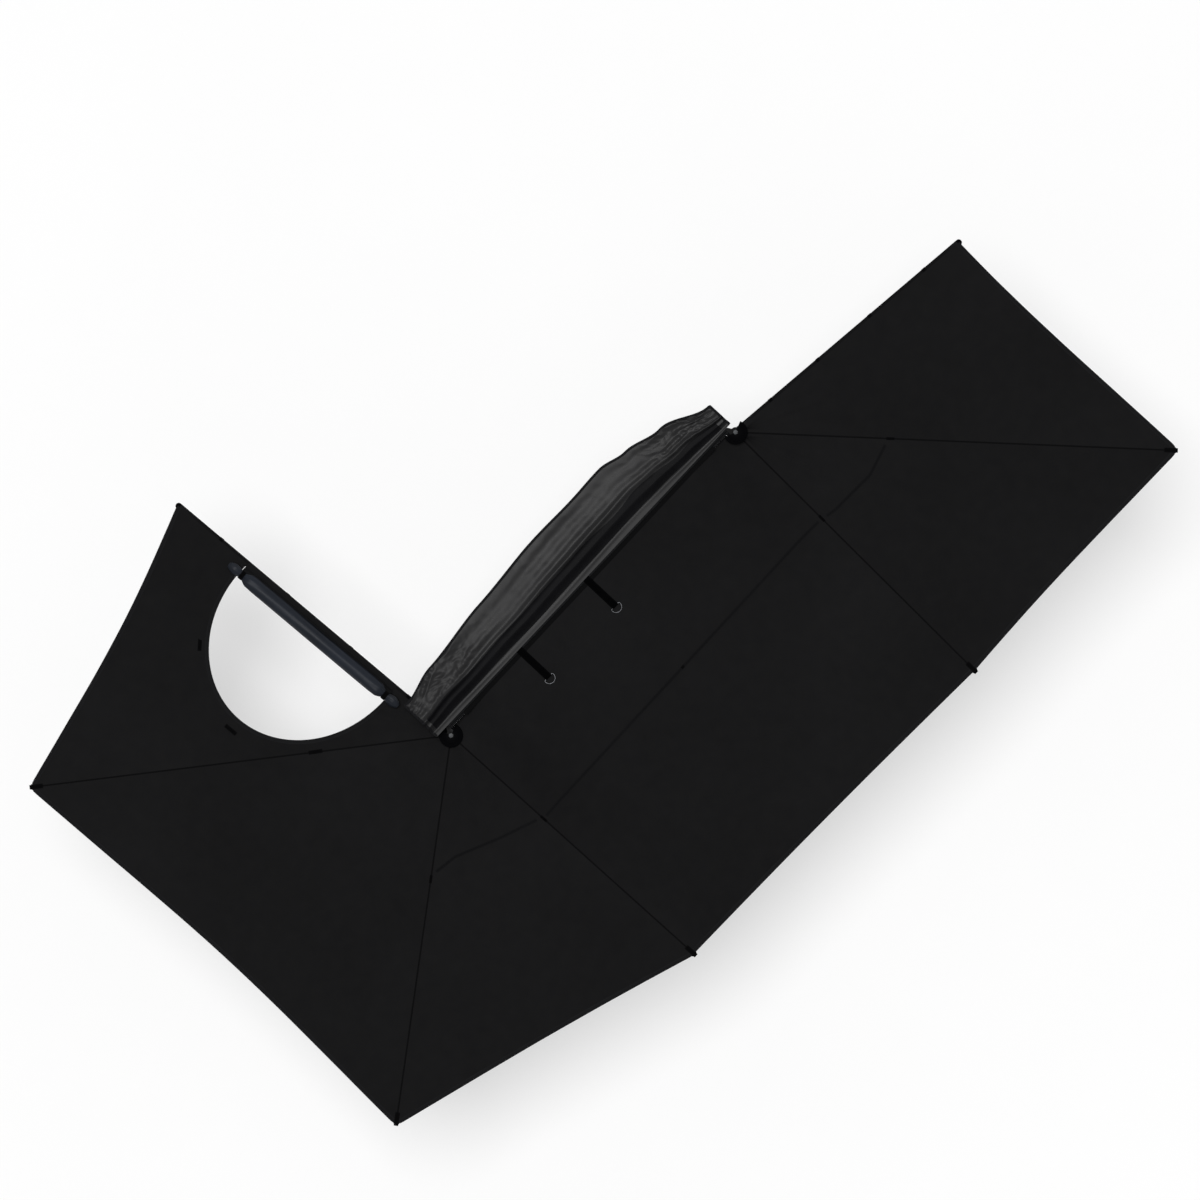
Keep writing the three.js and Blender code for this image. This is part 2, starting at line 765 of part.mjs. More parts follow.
function rollRing(x, radius) {
  const points = [];
  for (let k = 0; k < rollSides; k += 1) {
    const turn = (2 * Math.PI * (k + 1 / 2)) / rollSides;
    const folds = (1 + Math.sin(turn)) * (1 + Math.sin(foldTurns * turn + x / flapRadius));
    const reach = radius * (1 - foldShare * folds);
    points.push(new THREE.Vector3(x, flapAside + reach * Math.cos(turn), flapZ + reach * Math.sin(turn)));
  }
  return points;
}

function flapGeometry() {
  const { inner, outer } = flapEnds;
  const profile = [
    [0, endRadius],
    [bunchFromEnd, bunchRadius],
    [waistFromEnd - tieWidth / 2, waistRadius],
    [waistFromEnd + tieWidth / 2, waistRadius],
    [shoulderFromEnd, flapRadius],
  ];
  const rings = profile.map(([x, radius]) => rollRing(inner + x, radius));
  for (let k = 1; k < rollSteps; k += 1) {
    const x = mix(inner + shoulderFromEnd, outer - shoulderFromEnd, k / rollSteps);
    rings.push(rollRing(x, flapRadius));
  }
  profile.reverse().forEach(([x, radius]) => rings.push(rollRing(outer - x, radius)));
  return loft(rings, false);
}

// A band of webbing round the flap's waist
function tieGeometry(middleX) {
  const band = [];
  const low = waistRadius + gap;
  const section = [
    [-1, low],
    [1, low],
    [1, low + tieThickness],
    [-1, low + tieThickness],
  ];
  for (let k = 0; k < rollSides; k += 1) {
    const turn = (2 * Math.PI * (k + 1 / 2)) / rollSides;
    band.push(
      section.map(([end, radius]) => {
        const x = middleX + (end * (tieWidth - 2 * gap)) / 2;
        return new THREE.Vector3(
          x,
          flapAside + radius * Math.cos(turn),
          flapZ + radius * Math.sin(turn),
        );
      }),
    );
  }
  return loft(band, true);
}

function makeFlap() {
  const group = armGroup(arms[1]);
  add(group, "rolled_flap", flapGeometry(), "flap");
  add(group, "flap_tie_inner", tieGeometry(flapEnds.inner + waistFromEnd), "webbing");
  add(group, "flap_tie_outer", tieGeometry(flapEnds.outer - waistFromEnd), "webbing");
}

// Straps that lie on the canopy, each with a ring that swings in its end loop

const strapWidth = 44;
const strapThickness = 2.4;
const strapPast = 180;
const wireRadius = 2.5;
const wirePlay = 0.8;
const ringCorner = 8;
const ringAside = 3;
const wireSides = 8;
const ringArcSteps = 14;
const cornerSteps = 4;
const cornerEnd = Math.PI / 10;
const strapShares = { rear: -0.2365, front: -0.0025 };

const loopBore = wireRadius + wirePlay;
const ringHalf = strapWidth / 2 + ringCorner + ringAside;
const strapZ = railTopZ + gap;
const strapInnerY = railFaceY + grooveFromFace;
const ringY = pivotY - strapPast;
const loopRadius = loopBore + strapThickness;

function strapSection() {
  const joinAngle = Math.asin((strapThickness - loopRadius) / loopRadius);
  const outline = new THREE.Shape();
  outline.moveTo(strapInnerY, strapZ);
  outline.lineTo(ringY, strapZ);
  outline.absarc(ringY, strapZ + loopRadius, loopRadius, -Math.PI / 2, joinAngle, true);
  outline.lineTo(strapInnerY, strapZ + strapThickness);
  const bore = new THREE.Path();
  bore.absarc(ringY, strapZ + loopRadius, loopBore, 0, 2 * Math.PI, false);
  outline.holes.push(bore);
  return outline;
}

// The middle line of a D ring, with its bar on the X axis
function ringLine() {
  const points = [];
  const arc = (x, y, radius, from, to, steps) => {
    for (let k = 0; k < steps; k += 1) {
      const turn = mix(from, to, k / (steps - 1));
      points.push(new THREE.Vector3(x + radius * Math.cos(turn), y + radius * Math.sin(turn), 0));
    }
  };
  const side = ringHalf - ringCorner;
  arc(side, -ringCorner, ringCorner, Math.PI / 2, cornerEnd, cornerSteps);
  arc(0, -ringCorner, ringHalf, 0, -Math.PI, ringArcSteps);
  arc(-side, -ringCorner, ringCorner, Math.PI - cornerEnd, Math.PI / 2, cornerSteps);
  return points;
}

function ringGeometry() {
  const line = ringLine();
  const up = new THREE.Vector3(0, 0, 1);
  const rings = line.map((point, i) => {
    const next = line[(i + 1) % line.length];
    const last = line[(i + line.length - 1) % line.length];
    const aside = up.clone().cross(next.clone().sub(last).normalize());
    const circle = [];
    for (let k = 0; k < wireSides; k += 1) {
      const turn = (2 * Math.PI * k) / wireSides;
      const offset = aside.clone().multiplyScalar(wireRadius * Math.cos(turn));
      offset.addScaledVector(up, wireRadius * Math.sin(turn));
      circle.push(point.clone().add(offset));
    }
    return circle;
  });
  return loft(rings, true);
}

function makeStraps() {
  for (const [name, share] of Object.entries(strapShares)) {
    const x = share * pivotSpacing;
    const strap = drawnOut(strapSection(), x - strapWidth / 2, x + strapWidth / 2);
    add(awning, `strap_${name}`, strap, "webbing");
    const ring = add(awning, `strap_ring_${name}`, ringGeometry(), "bright");
    ring.position.set(x, ringY, strapZ + loopRadius);
  }
}

// Storage cover: opened and laid back over the brackets, with lengthwise folds

const coverThickness = 2;
const coverRows = 40;
const coverColumns = 12;
const coverFromBack = 8;
const coverPastRear = 57;
const coverPastFront = 10;
const coverReach = 423;
const coverPlaceShares = [-0.5137, -0.4162, -0.2232, -0.0357, 0.1212, 0.2112, 0.2842, 0.3805, 0.5041];
const coverReachShares = [0.733, 0.844, 0.934, 0.995, 0.993, 1, 0.917, 0.775, 0.508];
const coverAboveFoot = 34;
const coverFlatShare = 0.13;
const coverFallShare = 0.42;
const foldHeight = 17;
const foldWaveLength = 410;
const coverFolds = [
  { placeShare: 0.3, widthShare: 0.07, heightShare: 1, waveShare: 0.634 },
  { placeShare: 0.5, widthShare: 0.08, heightShare: 0.765, waveShare: 1 },
  { placeShare: 0.86, widthShare: 0.1, heightShare: 0.529, waveShare: 0.805 },
];
const foldSwayShare = 0.05;
const foldFloorShare = 0.65;

const coverTopZ = Math.max(railTopZ, plateHeights(hubs.front).high) + gap;

// Distance of the cover's far edge from the king pins' line
function coverEdge(x) {
  const places = coverPlaceShares.map((share) => share * pivotSpacing);
  const after = places.findIndex((place) => place > x);
  if (after < 0) return coverReach * coverReachShares.at(-1);
  const before = Math.max(0, after - 1);
  const span = places[after] - places[before];
  const share = span > 0 ? smooth((x - places[before]) / span) : 0;
  return coverReach * mix(coverReachShares[before], coverReachShares[after], share);
}

function coverZ(x, across) {
  const fall = smooth((across - coverFlatShare) / coverFallShare);
  const folds = coverFolds.reduce((sum, { placeShare, widthShare, heightShare, waveShare }) => {
    const turn = x / (waveShare * foldWaveLength);
    const middle = placeShare + foldSwayShare * Math.sin(turn);
    const strength = foldFloorShare + (1 - foldFloorShare) * Math.cos(2 * turn);
    return sum + heightShare * strength * Math.exp(-(((across - middle) / widthShare) ** 2));
  }, 0);
  return mix(coverTopZ, coverAboveFoot, fall) + foldHeight * folds * smooth(across / coverFlatShare);
}

function makeCover() {
  const rows = [];
  for (let i = 0; i <= coverRows; i += 1) {
    const x = mix(hubs.rear.x - coverPastRear, hubs.front.x + coverPastFront, i / coverRows);
    const row = [];
    for (let j = 0; j <= coverColumns; j += 1) {
      const across = j / coverColumns;
      const y = mix(railBackY - coverFromBack, pivotY + coverEdge(x), across);
      row.push(new THREE.Vector3(x, y, coverZ(x, across)));
    }
    rows.push(row);
  }
  add(awning, "storage_cover", cloth(rows, coverThickness), "cover");
}

makeRail();
makeHub("rear", hubs.rear, lowerSlotZ);
makeHub("front", hubs.front, upperSlotZ);
makeMountingBrackets();
makeArms();
makeCanopy();
makeTabs();
makeFlap();
makeStraps();
makeCover();

export default awning;
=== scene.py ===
"""Visual model of a self-supporting wrap-around awning, open, built around its fixed frame.

Lengths are in metres in the frame's own axes: X runs forward along the back rail, the canopy
reaches out to -Y, and Z is up. Angles count from an arm's folded place beside the rail.
"""
import logging
import math
from dataclasses import dataclass, field
from enum import Enum
from typing import Iterator, Sequence

import bmesh
import bpy
import numpy as np
from mathutils import Matrix, Vector
from mathutils.geometry import delaunay_2d_cdt


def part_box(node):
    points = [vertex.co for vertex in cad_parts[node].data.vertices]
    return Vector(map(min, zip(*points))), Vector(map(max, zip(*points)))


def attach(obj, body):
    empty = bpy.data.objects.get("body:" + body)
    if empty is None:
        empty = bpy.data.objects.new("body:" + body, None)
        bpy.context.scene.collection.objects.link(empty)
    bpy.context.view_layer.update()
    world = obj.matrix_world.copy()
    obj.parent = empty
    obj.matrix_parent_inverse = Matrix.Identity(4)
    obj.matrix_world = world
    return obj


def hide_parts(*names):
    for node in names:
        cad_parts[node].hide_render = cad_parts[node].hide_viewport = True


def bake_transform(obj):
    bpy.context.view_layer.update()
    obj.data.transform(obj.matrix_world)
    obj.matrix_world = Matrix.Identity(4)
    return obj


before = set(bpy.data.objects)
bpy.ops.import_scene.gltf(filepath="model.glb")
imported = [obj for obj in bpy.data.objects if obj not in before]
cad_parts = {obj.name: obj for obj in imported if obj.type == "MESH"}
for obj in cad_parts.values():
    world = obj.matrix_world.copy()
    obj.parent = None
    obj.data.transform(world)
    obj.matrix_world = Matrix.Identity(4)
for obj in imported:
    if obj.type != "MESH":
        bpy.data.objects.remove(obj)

Array = np.ndarray
Socket = bpy.types.NodeSocket
Tree = bpy.types.NodeTree
Piece = bpy.types.Object
Colour = tuple[float, float, float, float]
Pair = tuple[float, float]

LOG = logging.getLogger("awning")
FULL_TURN = 2.0 * math.pi

# Measures that more than one piece shares.
PIVOT_Y = -0.1166
RAIL_FACE_Y = -0.0886
RAIL_TOP_Z = 0.114
GROOVE_Y = -0.0766
STACK_BOTTOM_Z = -0.046
LEVEL_PITCH = 0.022
ARM_WIDTH = 0.038
ARM_HEIGHT = 0.016
TOUCH = 0.0004
CLOTH = 0.0012
CLOTH_START = 0.064
CLOTH_SHORT = 0.014
OVER_ARM = 0.021
MAIN_HOLLOW = 0.009
RAIL_END_COLUMN = 0.050
SAG = 0.016
MIDDLE_GAP = 0.0002

# How the meshes are made.
UP = np.array([0.0, 0.0, 1.0])
NO_LENGTH = 1e-12
NO_DISTANCE = 1e-9
WELD = 1e-5
CLOTH_CREASE = 60.0
HARD_CREASE = 30.0
FLAT_DEGREES = 1.5
SHARP_DEGREES = 38.0
ROUNDING = 0.6
SOFT_EDGE = 0.0012
FINE_EDGE = 0.0008


class Body(str, Enum):
    """The bodies that the joints move."""

    FRAME = "frame"
    ARM_1 = "first_arm"
    ARM_2 = "second_arm"
    ARM_3 = "third_arm"
    ARM_4 = "fourth_arm"
    ARM_5 = "fifth_arm"
    ARM_6 = "sixth_arm"
    ARM_7 = "seventh_arm"
    RING_REAR = "rear_ring"
    RING_FRONT = "front_ring"


class Pattern(str, Enum):
    """How a finish is made up."""

    CANVAS = "canvas"
    COATED = "coated"
    WEBBING = "webbing"
    ANODISED = "anodised"
    POWDER = "powder"
    ZINC = "zinc"
    MOULDED = "moulded"


def smooth(value: Array | float) -> Array:
    """Eases a share from 0 to 1."""
    held = np.clip(value, 0.0, 1.0)
    return held * held * (3.0 - 2.0 * held)


def mix(low: Array | float, high: Array | float, share: Array | float) -> Array:
    """The value a share of the way from low to high."""
    return low + (high - low) * share


def linear(level: float) -> float:
    """A display level from 0 to 255 as linear light."""
    share = level / 255.0
    return share / 12.92 if share <= 0.04045 else ((share + 0.055) / 1.055) ** 2.4


def tone(red: float, green: float, blue: float) -> Colour:
    """A colour given by its display levels."""
    return (linear(red), linear(green), linear(blue), 1.0)


# ---- layout


@dataclass(frozen=True)
class Hub:
    """A vertical king pin, and the way that its folded arms point along the rail."""

    x: float
    side: int

    def place(self, angle: Array | float, distance: Array | float) -> tuple:
        """Plan place at an angle from folded and a distance from the pin."""
        x = self.x + self.side * distance * np.cos(angle)
        return x, PIVOT_Y - distance * np.sin(angle)

    def polar(self, x: Array, y: Array) -> tuple[Array, Array]:
        """Angle from folded, and distance from the pin, of a plan place."""
        angle = np.arctan2(PIVOT_Y - y, self.side * (x - self.x))
        return np.where(angle < -1.0, angle + FULL_TURN, angle), np.hypot(x - self.x, y - PIVOT_Y)


REAR = Hub(-1.205, 1)
FRONT = Hub(1.205, -1)


@dataclass(frozen=True)
class Arm:
    """One arm of the canopy in its open place."""

    number: int
    hub: Hub
    level: int
    open_degrees: float
    reach: float
    body: Body

    @property
    def angle(self) -> float:
        """Open angle in radians."""
        return math.radians(self.open_degrees)

    @property
    def low_z(self) -> float:
        """Underside of the bar."""
        return STACK_BOTTOM_Z + self.level * LEVEL_PITCH

    @property
    def cloth_z(self) -> float:
        """Underside of the cloth that lies on the bar."""
        return self.low_z + ARM_HEIGHT + TOUCH

    def matrix(self) -> Matrix:
        """Turns lengths along, across and up from the king pin into the frame's axes."""
        turn = -self.angle if self.hub.side > 0 else math.pi + self.angle
        place = Matrix.Translation((self.hub.x, PIVOT_Y, self.low_z))
        return place @ Matrix.Rotation(turn, 4, "Z")


ARMS = {
    1: Arm(1, REAR, 0, 266.9, 2.089, Body.ARM_1),
    2: Arm(2, REAR, 1, 219.8, 2.465, Body.ARM_2),
    3: Arm(3, REAR, 2, 144.9, 2.286, Body.ARM_3),
    4: Arm(4, REAR, 3, 88.8, 1.909, Body.ARM_4),
    5: Arm(5, FRONT, 4, 88.3, 1.972, Body.ARM_5),
    6: Arm(6, FRONT, 5, 130.8, 2.564, Body.ARM_6),
    7: Arm(7, FRONT, 6, 173.5, 1.716, Body.ARM_7),
}


# ---- finishes


class Wiring:
    """Adds nodes to a shader tree and joins them."""

    def __init__(self, tree: Tree) -> None:
        """Starts on the node tree of a material or a group."""
        self.tree = tree
        self.count = 0

    def add(self, kind: str, **settings: object) -> bpy.types.Node:
        """Adds a node.

        Args:
            kind: The node's type name.
            **settings: Properties of the node.

        Returns:
            The new node.
        """
        node = self.tree.nodes.new(kind)
        node.location = (180.0 * (self.count % 8), -220.0 * (self.count // 8))
        self.count += 1
        for name, value in settings.items():
            setattr(node, name, value)
        return node

    def feed(self, socket: Socket, value: object) -> None:
        """Joins an output to an input, or sets the input's plain value."""
        if isinstance(value, Socket):
            self.tree.links.new(value, socket)
        else:
            socket.default_value = value

    def math(self, operation: str, *values: object, held: bool = False) -> Socket:
        """Adds a Math node.

        Args:
            operation: What it works out.
            *values: Sockets or numbers.
            held: Whether the result is held between 0 and 1.

        Returns:
            Its result.
        """
        node = self.add("ShaderNodeMath", operation=operation, use_clamp=held)
        for socket, value in zip(node.inputs, values):
            self.feed(socket, value)
        return node.outputs[0]

    def _mixed(self, kind: str, share: object, low: object, high: object) -> Socket:
        """Adds a Mix node of one kind and gives its result."""
        node = self.add("ShaderNodeMix", data_type=kind)
        for name, value in (("Factor", share), ("A", low), ("B", high)):
            self.feed(node.inputs[name], value)
        return node.outputs["Result"]

    def colour(self, share: object, low: object, high: object) -> Socket:
        """Mixes two colours by a share."""
        return self._mixed("RGBA", share, low, high)

    def number(self, share: object, low: object, high: object) -> Socket:
        """Mixes two numbers by a share."""
        return self._mixed("FLOAT", share, low, high)

    def weighted(self, *terms: tuple[object, float]) -> Socket:
        """Adds up sockets, each times its own weight."""
        total, *others = [self.math("MULTIPLY", value, weight) for value, weight in terms]
        for term in others:
            total = self.math("ADD", total, term)
        return total

    def shaders(self, share: object, first: object, second: object) -> Socket:
        """Mixes two shaders by a share."""
        node = self.add("ShaderNodeMixShader")
        for socket, value in zip(node.inputs, (share, first, second)):
            self.feed(socket, value)
        return node.outputs[0]

    def noise(self, vector: object, scale: object, detail: float = 2.0) -> Socket:
        """Adds soft noise and gives its value."""
        node = self.add("ShaderNodeTexNoise")
        self.feed(node.inputs["Vector"], vector)
        self.feed(node.inputs["Scale"], scale)
        node.inputs["Detail"].default_value = detail
        return node.outputs["Fac"]

    def stretched(self, vector: object, scale: Sequence[float]) -> Socket:
        """Scales a vector by its axes."""
        node = self.add("ShaderNodeVectorMath", operation="MULTIPLY")
        self.feed(node.inputs[0], vector)
        node.inputs[1].default_value = scale
        return node.outputs[0]

    def parts(self, vector: object) -> list[Socket]:
        """Splits a vector into X, Y and Z."""
        node = self.add("ShaderNodeSeparateXYZ")
        self.feed(node.inputs[0], vector)
        return list(node.outputs)

    def group(self, tree: Tree, **values: object) -> bpy.types.Node:
        """Places a node group with its own values."""
        node = self.add("ShaderNodeGroup", node_tree=tree)
        for name, value in values.items():
            self.feed(node.inputs[name.replace("_", " ").title()], value)
        return node


def new_group(name: str, inputs: dict[str, float | None], outputs: Sequence[str]) -> tuple:
    """Makes an empty node group with named sockets.

    Args:
        name: The group's name.
        inputs: Default of each input; None makes a vector input.
        outputs: Names of the value outputs.

    Returns:
        The tree, its wiring, the input node and the output node.
    """
    tree = bpy.data.node_groups.new(name, "ShaderNodeTree")
    for title, default in inputs.items():
        kind = "NodeSocketVector" if default is None else "NodeSocketFloat"
        socket = tree.interface.new_socket(title, in_out="INPUT", socket_type=kind)
        if default is not None:
            socket.default_value = default
    for title in outputs:
        tree.interface.new_socket(title, in_out="OUTPUT", socket_type="NodeSocketFloat")
    wiring = Wiring(tree)
    return tree, wiring, wiring.add("NodeGroupInput"), wiring.add("NodeGroupOutput")


def weave_group() -> Tree:
    """Plain weave with a heavier thread at a steady grid, on metres of cloth."""
    tree, w, start, end = new_group(
        "plain weave",
        {"Vector": None, "Thread Pitch": 0.0011, "Grid Pitch": 0.007},
        ["Height", "Shade"],
    )
    vector, pitch, grid_pitch = (start.outputs[i] for i in range(3))
    across, along, _ = w.parts(vector)
    turns = w.math("DIVIDE", FULL_TURN, pitch)
    waves, threads, sharpness = [], [], 9.0
    for axis in (across, along):
        waves.append(w.math("SINE", w.math("MULTIPLY", axis, turns)))
        ramp = w.math("DIVIDE", w.math("PINGPONG", axis, grid_pitch), grid_pitch)
        threads.append(w.math("POWER", ramp, sharpness))
    checks, grid_lines = w.math("MULTIPLY", *waves), w.math("MAXIMUM", *threads)
    slubs = w.noise(w.stretched(vector, (1.0, 6.0, 1.0)), 120.0)
    w.feed(end.inputs["Height"], w.weighted((checks, 0.28), (grid_lines, 0.45), (slubs, 0.5)))
    w.feed(end.inputs["Shade"], w.weighted((grid_lines, 0.35), (slubs, 0.65)))
    return tree


def rib_group() -> Tree:
    """Ribs of woven webbing, along U and across V."""
    tree, w, start, end = new_group(
        "webbing ribs", {"Vector": None, "Rib Pitch": 0.0022}, ["Height"]
    )
    along, across, _ = w.parts(start.outputs["Vector"])
    turns = w.math("DIVIDE", FULL_TURN, start.outputs["Rib Pitch"])
    picks_per_rib = 1.4
    ribs = w.math("SINE", w.math("MULTIPLY", across, turns))
    picks = w.math("SINE", w.math("MULTIPLY", along, w.math("MULTIPLY", turns, picks_per_rib)))
    w.feed(end.inputs["Height"], w.math("ADD", w.weighted((ribs, 0.5), (picks, 0.3)), 0.5))
    return tree


def stitch_group() -> Tree:
    """Two rows of lock stitches at an offset on each side of V = 0."""
    tree, w, start, end = new_group(
        "stitch rows",
        {"Vector": None, "Offset": 0.009, "Pitch": 0.0045, "Thread": 0.0008},
        ["Mask", "Groove"],
    )
    vector, offset, pitch, thread = (start.outputs[i] for i in range(4))
    gap_share, groove_threads = 0.28, 4.0
    along, across, _ = w.parts(vector)
    away = w.math("ABSOLUTE", w.math("SUBTRACT", w.math("ABSOLUTE", across), offset))
    row = w.math("SUBTRACT", 1.0, w.math("DIVIDE", away, thread), held=True)
    dash = w.math("GREATER_THAN", w.math("FRACT", w.math("DIVIDE", along, pitch)), gap_share)
    w.feed(end.inputs["Mask"], w.math("MULTIPLY", row, dash))
    fall = w.math("DIVIDE", away, w.math("MULTIPLY", thread, groove_threads))
    w.feed(end.inputs["Groove"], w.math("SUBTRACT", 1.0, fall, held=True))
    return tree


def drift_group() -> Tree:
    """Slow drift of tone over a surface, with a finer mottle."""
    tree, w, start, end = new_group(
        "tone drift", {"Vector": None, "Size": 0.5, "Mottle": 0.3}, ["Factor"]
    )
    vector, size, mottle = (start.outputs[i] for i in range(3))
    finer, contrast = 11.0, 2.2
    scale = w.math("DIVIDE", 1.0, size)
    wide = w.noise(vector, scale, 3.0)
    fine = w.noise(vector, w.math("MULTIPLY", scale, finer), 4.0)
    both = w.number(mottle, wide, fine)
    spread = w.math("MULTIPLY", w.math("SUBTRACT", both, 0.5), contrast)
    w.feed(end.inputs["Factor"], w.math("ADD", spread, 0.5, held=True))
    return tree


def wear_group() -> Tree:
    """Rubbed outer edges, broken up by noise."""
    tree, w, start, end = new_group("edge wear", {"Vector": None, "Amount": 0.5}, ["Mask"])
    least_bend, edge_contrast = 0.53, 9.0
    bend = w.add("ShaderNodeNewGeometry").outputs["Pointiness"]
    past = w.math("SUBTRACT", bend, least_bend)
    edges = w.math("MULTIPLY", past, edge_contrast, held=True)
    broken = w.math("MULTIPLY", edges, w.noise(start.outputs["Vector"], 90.0, 4.0))
    w.feed(end.inputs["Mask"], w.math("MULTIPLY", broken, start.outputs["Amount"], held=True))
    return tree


def grain_group() -> Tree:
    """Fine pebbled grain of powder coat, coated cloth and moulded parts."""
    tree, w, start, end = new_group("fine grain", {"Vector": None, "Cell": 0.0012}, ["Height"])
    finer, noise_share = 2.3, 0.45
    scale = w.math("DIVIDE", 1.0, start.outputs["Cell"])
    cells = w.add("ShaderNodeTexVoronoi", feature="SMOOTH_F1")
    w.feed(cells.inputs["Vector"], start.outputs["Vector"])
    w.feed(cells.inputs["Scale"], scale)
    rough = w.noise(start.outputs["Vector"], w.math("MULTIPLY", scale, finer), 2.0)
    w.feed(end.inputs["Height"], w.number(noise_share, cells.outputs["Distance"], rough))
    return tree


def line_group() -> Tree:
    """Fine drawn lines along X, as an extrusion or a brushed face has."""
    tree, w, start, end = new_group("drawn lines", {"Vector": None, "Scale": 420.0}, ["Height"])
    drawn = w.stretched(start.outputs["Vector"], (0.02, 1.0, 1.0))
    w.feed(end.inputs["Height"], w.noise(drawn, start.outputs["Scale"], 3.0))
    return tree


def dust_group() -> Tree:
    """Thin dust that settles on faces that look up."""
    tree, w, start, end = new_group("settled dust", {"Vector": None, "Amount": 0.2}, ["Mask"])
    _, _, up = w.parts(w.add("ShaderNodeNewGeometry").outputs["Normal"])
    facing = w.math("POWER", w.math("MAXIMUM", up, 0.0), 2.0)
    clouds = w.noise(start.outputs["Vector"], 14.0, 6.0)
    patches = w.math("MULTIPLY", clouds, start.outputs["Amount"])
    w.feed(end.inputs["Mask"], w.math("MULTIPLY", facing, patches, held=True))
    return tree


@dataclass
class Effects:
    """The node groups that the finishes share."""

    weave: Tree = field(default_factory=weave_group)
    ribs: Tree = field(default_factory=rib_group)
    stitches: Tree = field(default_factory=stitch_group)
    drift: Tree = field(default_factory=drift_group)
    wear: Tree = field(default_factory=wear_group)
    grain: Tree = field(default_factory=grain_group)
    lines: Tree = field(default_factory=line_group)
    dust: Tree = field(default_factory=dust_group)


EFFECTS = Effects()
CLOTH_PATTERNS = (Pattern.CANVAS, Pattern.COATED, Pattern.WEBBING)
DUST = tone(96, 92, 86)
WHITE = (1.0, 1.0, 1.0, 1.0)
MOTTLE = 0.3
SHADE_SHARE = 0.35
STITCH_SINK = 1.2
STITCH_RISE = 1.8
WEAR_AMOUNT = 0.8
ROUGH_SPREAD = 0.12
BUMP_STRENGTH = 0.6


@dataclass(frozen=True)
class Finish:
    """One finish of the awning.

    Attributes:
        name: The material's name.
        slot: Name of the slot that it belongs to; not used.
        pattern: What it is made up of.
        low: Darker tone.
        high: Lighter tone.
        roughness: Middle of its roughness.
        metallic: How metallic it is.
        relief: Depth of its relief in metres.
        drift: Size of its slow tone changes in metres.
        dust: Amount of settled dust.
        worn: Tone of worn edges.
        stitch_offset: Distance of its stitch rows from V = 0, or zero for none.
        thread: Tone of the stitches.
        shine: Specular level of its surface.
    """

    name: str
    slot: str
    pattern: Pattern
    low: Colour
    high: Colour
    roughness: float
    metallic: float = 0.0
    relief: float = 0.0003
    drift: float = 0.5
    dust: float = 0.0
    worn: Colour | None = None
    stitch_offset: float = 0.0
    thread: Colour = tone(46, 47, 49)
    shine: float = 0.5

    def material(self) -> bpy.types.Material:
        """The finish as a material, made once."""
        found = bpy.data.materials.get(self.name)
        return found if found else self._make()

    def _make(self) -> bpy.types.Material:
        """Builds the material's nodes."""
        material = bpy.data.materials.new(self.name)
        material.use_nodes = True
        material.node_tree.nodes.clear()
        w = Wiring(material.node_tree)
        coordinates = w.add("ShaderNodeTexCoord")
        vector = coordinates.outputs["UV" if self.pattern in CLOTH_PATTERNS else "Object"]
        shader = w.add("ShaderNodeBsdfPrincipled")
        output = w.add("ShaderNodeOutputMaterial")
        w.feed(output.inputs["Surface"], shader.outputs[0])
        drift = w.group(EFFECTS.drift, vector=vector, size=self.drift, mottle=MOTTLE).outputs[0]
        colour = w.colour(drift, self.low, self.high)
        height, shade = self._relief(w, vector)
        if shade is not None:
            colour = w.colour(w.math("MULTIPLY", shade, SHADE_SHARE), colour, self.high)
        if self.stitch_offset > 0.0:
            rows = w.group(EFFECTS.stitches, vector=vector, offset=self.stitch_offset)
            colour = w.colour(rows.outputs["Mask"], colour, self.thread)
            sunk = w.math("MULTIPLY", rows.outputs["Groove"], STITCH_SINK)
            raised = w.math("MULTIPLY", rows.outputs["Mask"], STITCH_RISE)
            height = w.math("ADD", w.math("SUBTRACT", height, sunk), raised)
        if self.worn is not None:
            rubbed = w.group(EFFECTS.wear, vector=vector, amount=WEAR_AMOUNT).outputs[0]
            colour = w.colour(rubbed, colour, self.worn)
        if self.dust > 0.0:
            settled = w.group(EFFECTS.dust, vector=vector, amount=self.dust).outputs[0]
            colour = w.colour(settled, colour, DUST)
        w.feed(shader.inputs["Base Color"], colour)
        varied = w.math("MULTIPLY", drift, ROUGH_SPREAD)
        rough = w.math("ADD", self.roughness - ROUGH_SPREAD / 2.0, varied, held=True)
        w.feed(shader.inputs["Roughness"], rough)
        bump = w.add("ShaderNodeBump")
        bump.inputs["Strength"].default_value = BUMP_STRENGTH
        bump.inputs["Distance"].default_value = self.relief
        w.feed(bump.inputs["Height"], height)
        w.feed(shader.inputs["Normal"], bump.outputs["Normal"])
        shader.inputs["Metallic"].default_value = self.metallic
        shader.inputs["Specular IOR Level"].default_value = self.shine
        return material

    def _relief(self, w: Wiring, vector: Socket) -> tuple:
        """Relief height, and a shade where the pattern has one.

        Args:
            w: The material's wiring.
            vector: Where on the surface.

        Returns:
            The height, and the shade or None.
        """
        if self.pattern is Pattern.CANVAS:
            group = w.group(EFFECTS.weave, vector=vector)
            return group.outputs["Height"], group.outputs["Shade"]
        if self.pattern is Pattern.WEBBING:
            return w.group(EFFECTS.ribs, vector=vector).outputs["Height"], None
        if self.pattern in (Pattern.ANODISED, Pattern.ZINC):
            return w.group(EFFECTS.lines, vector=vector).outputs["Height"], None
        return w.group(EFFECTS.grain, vector=vector).outputs["Height"], None


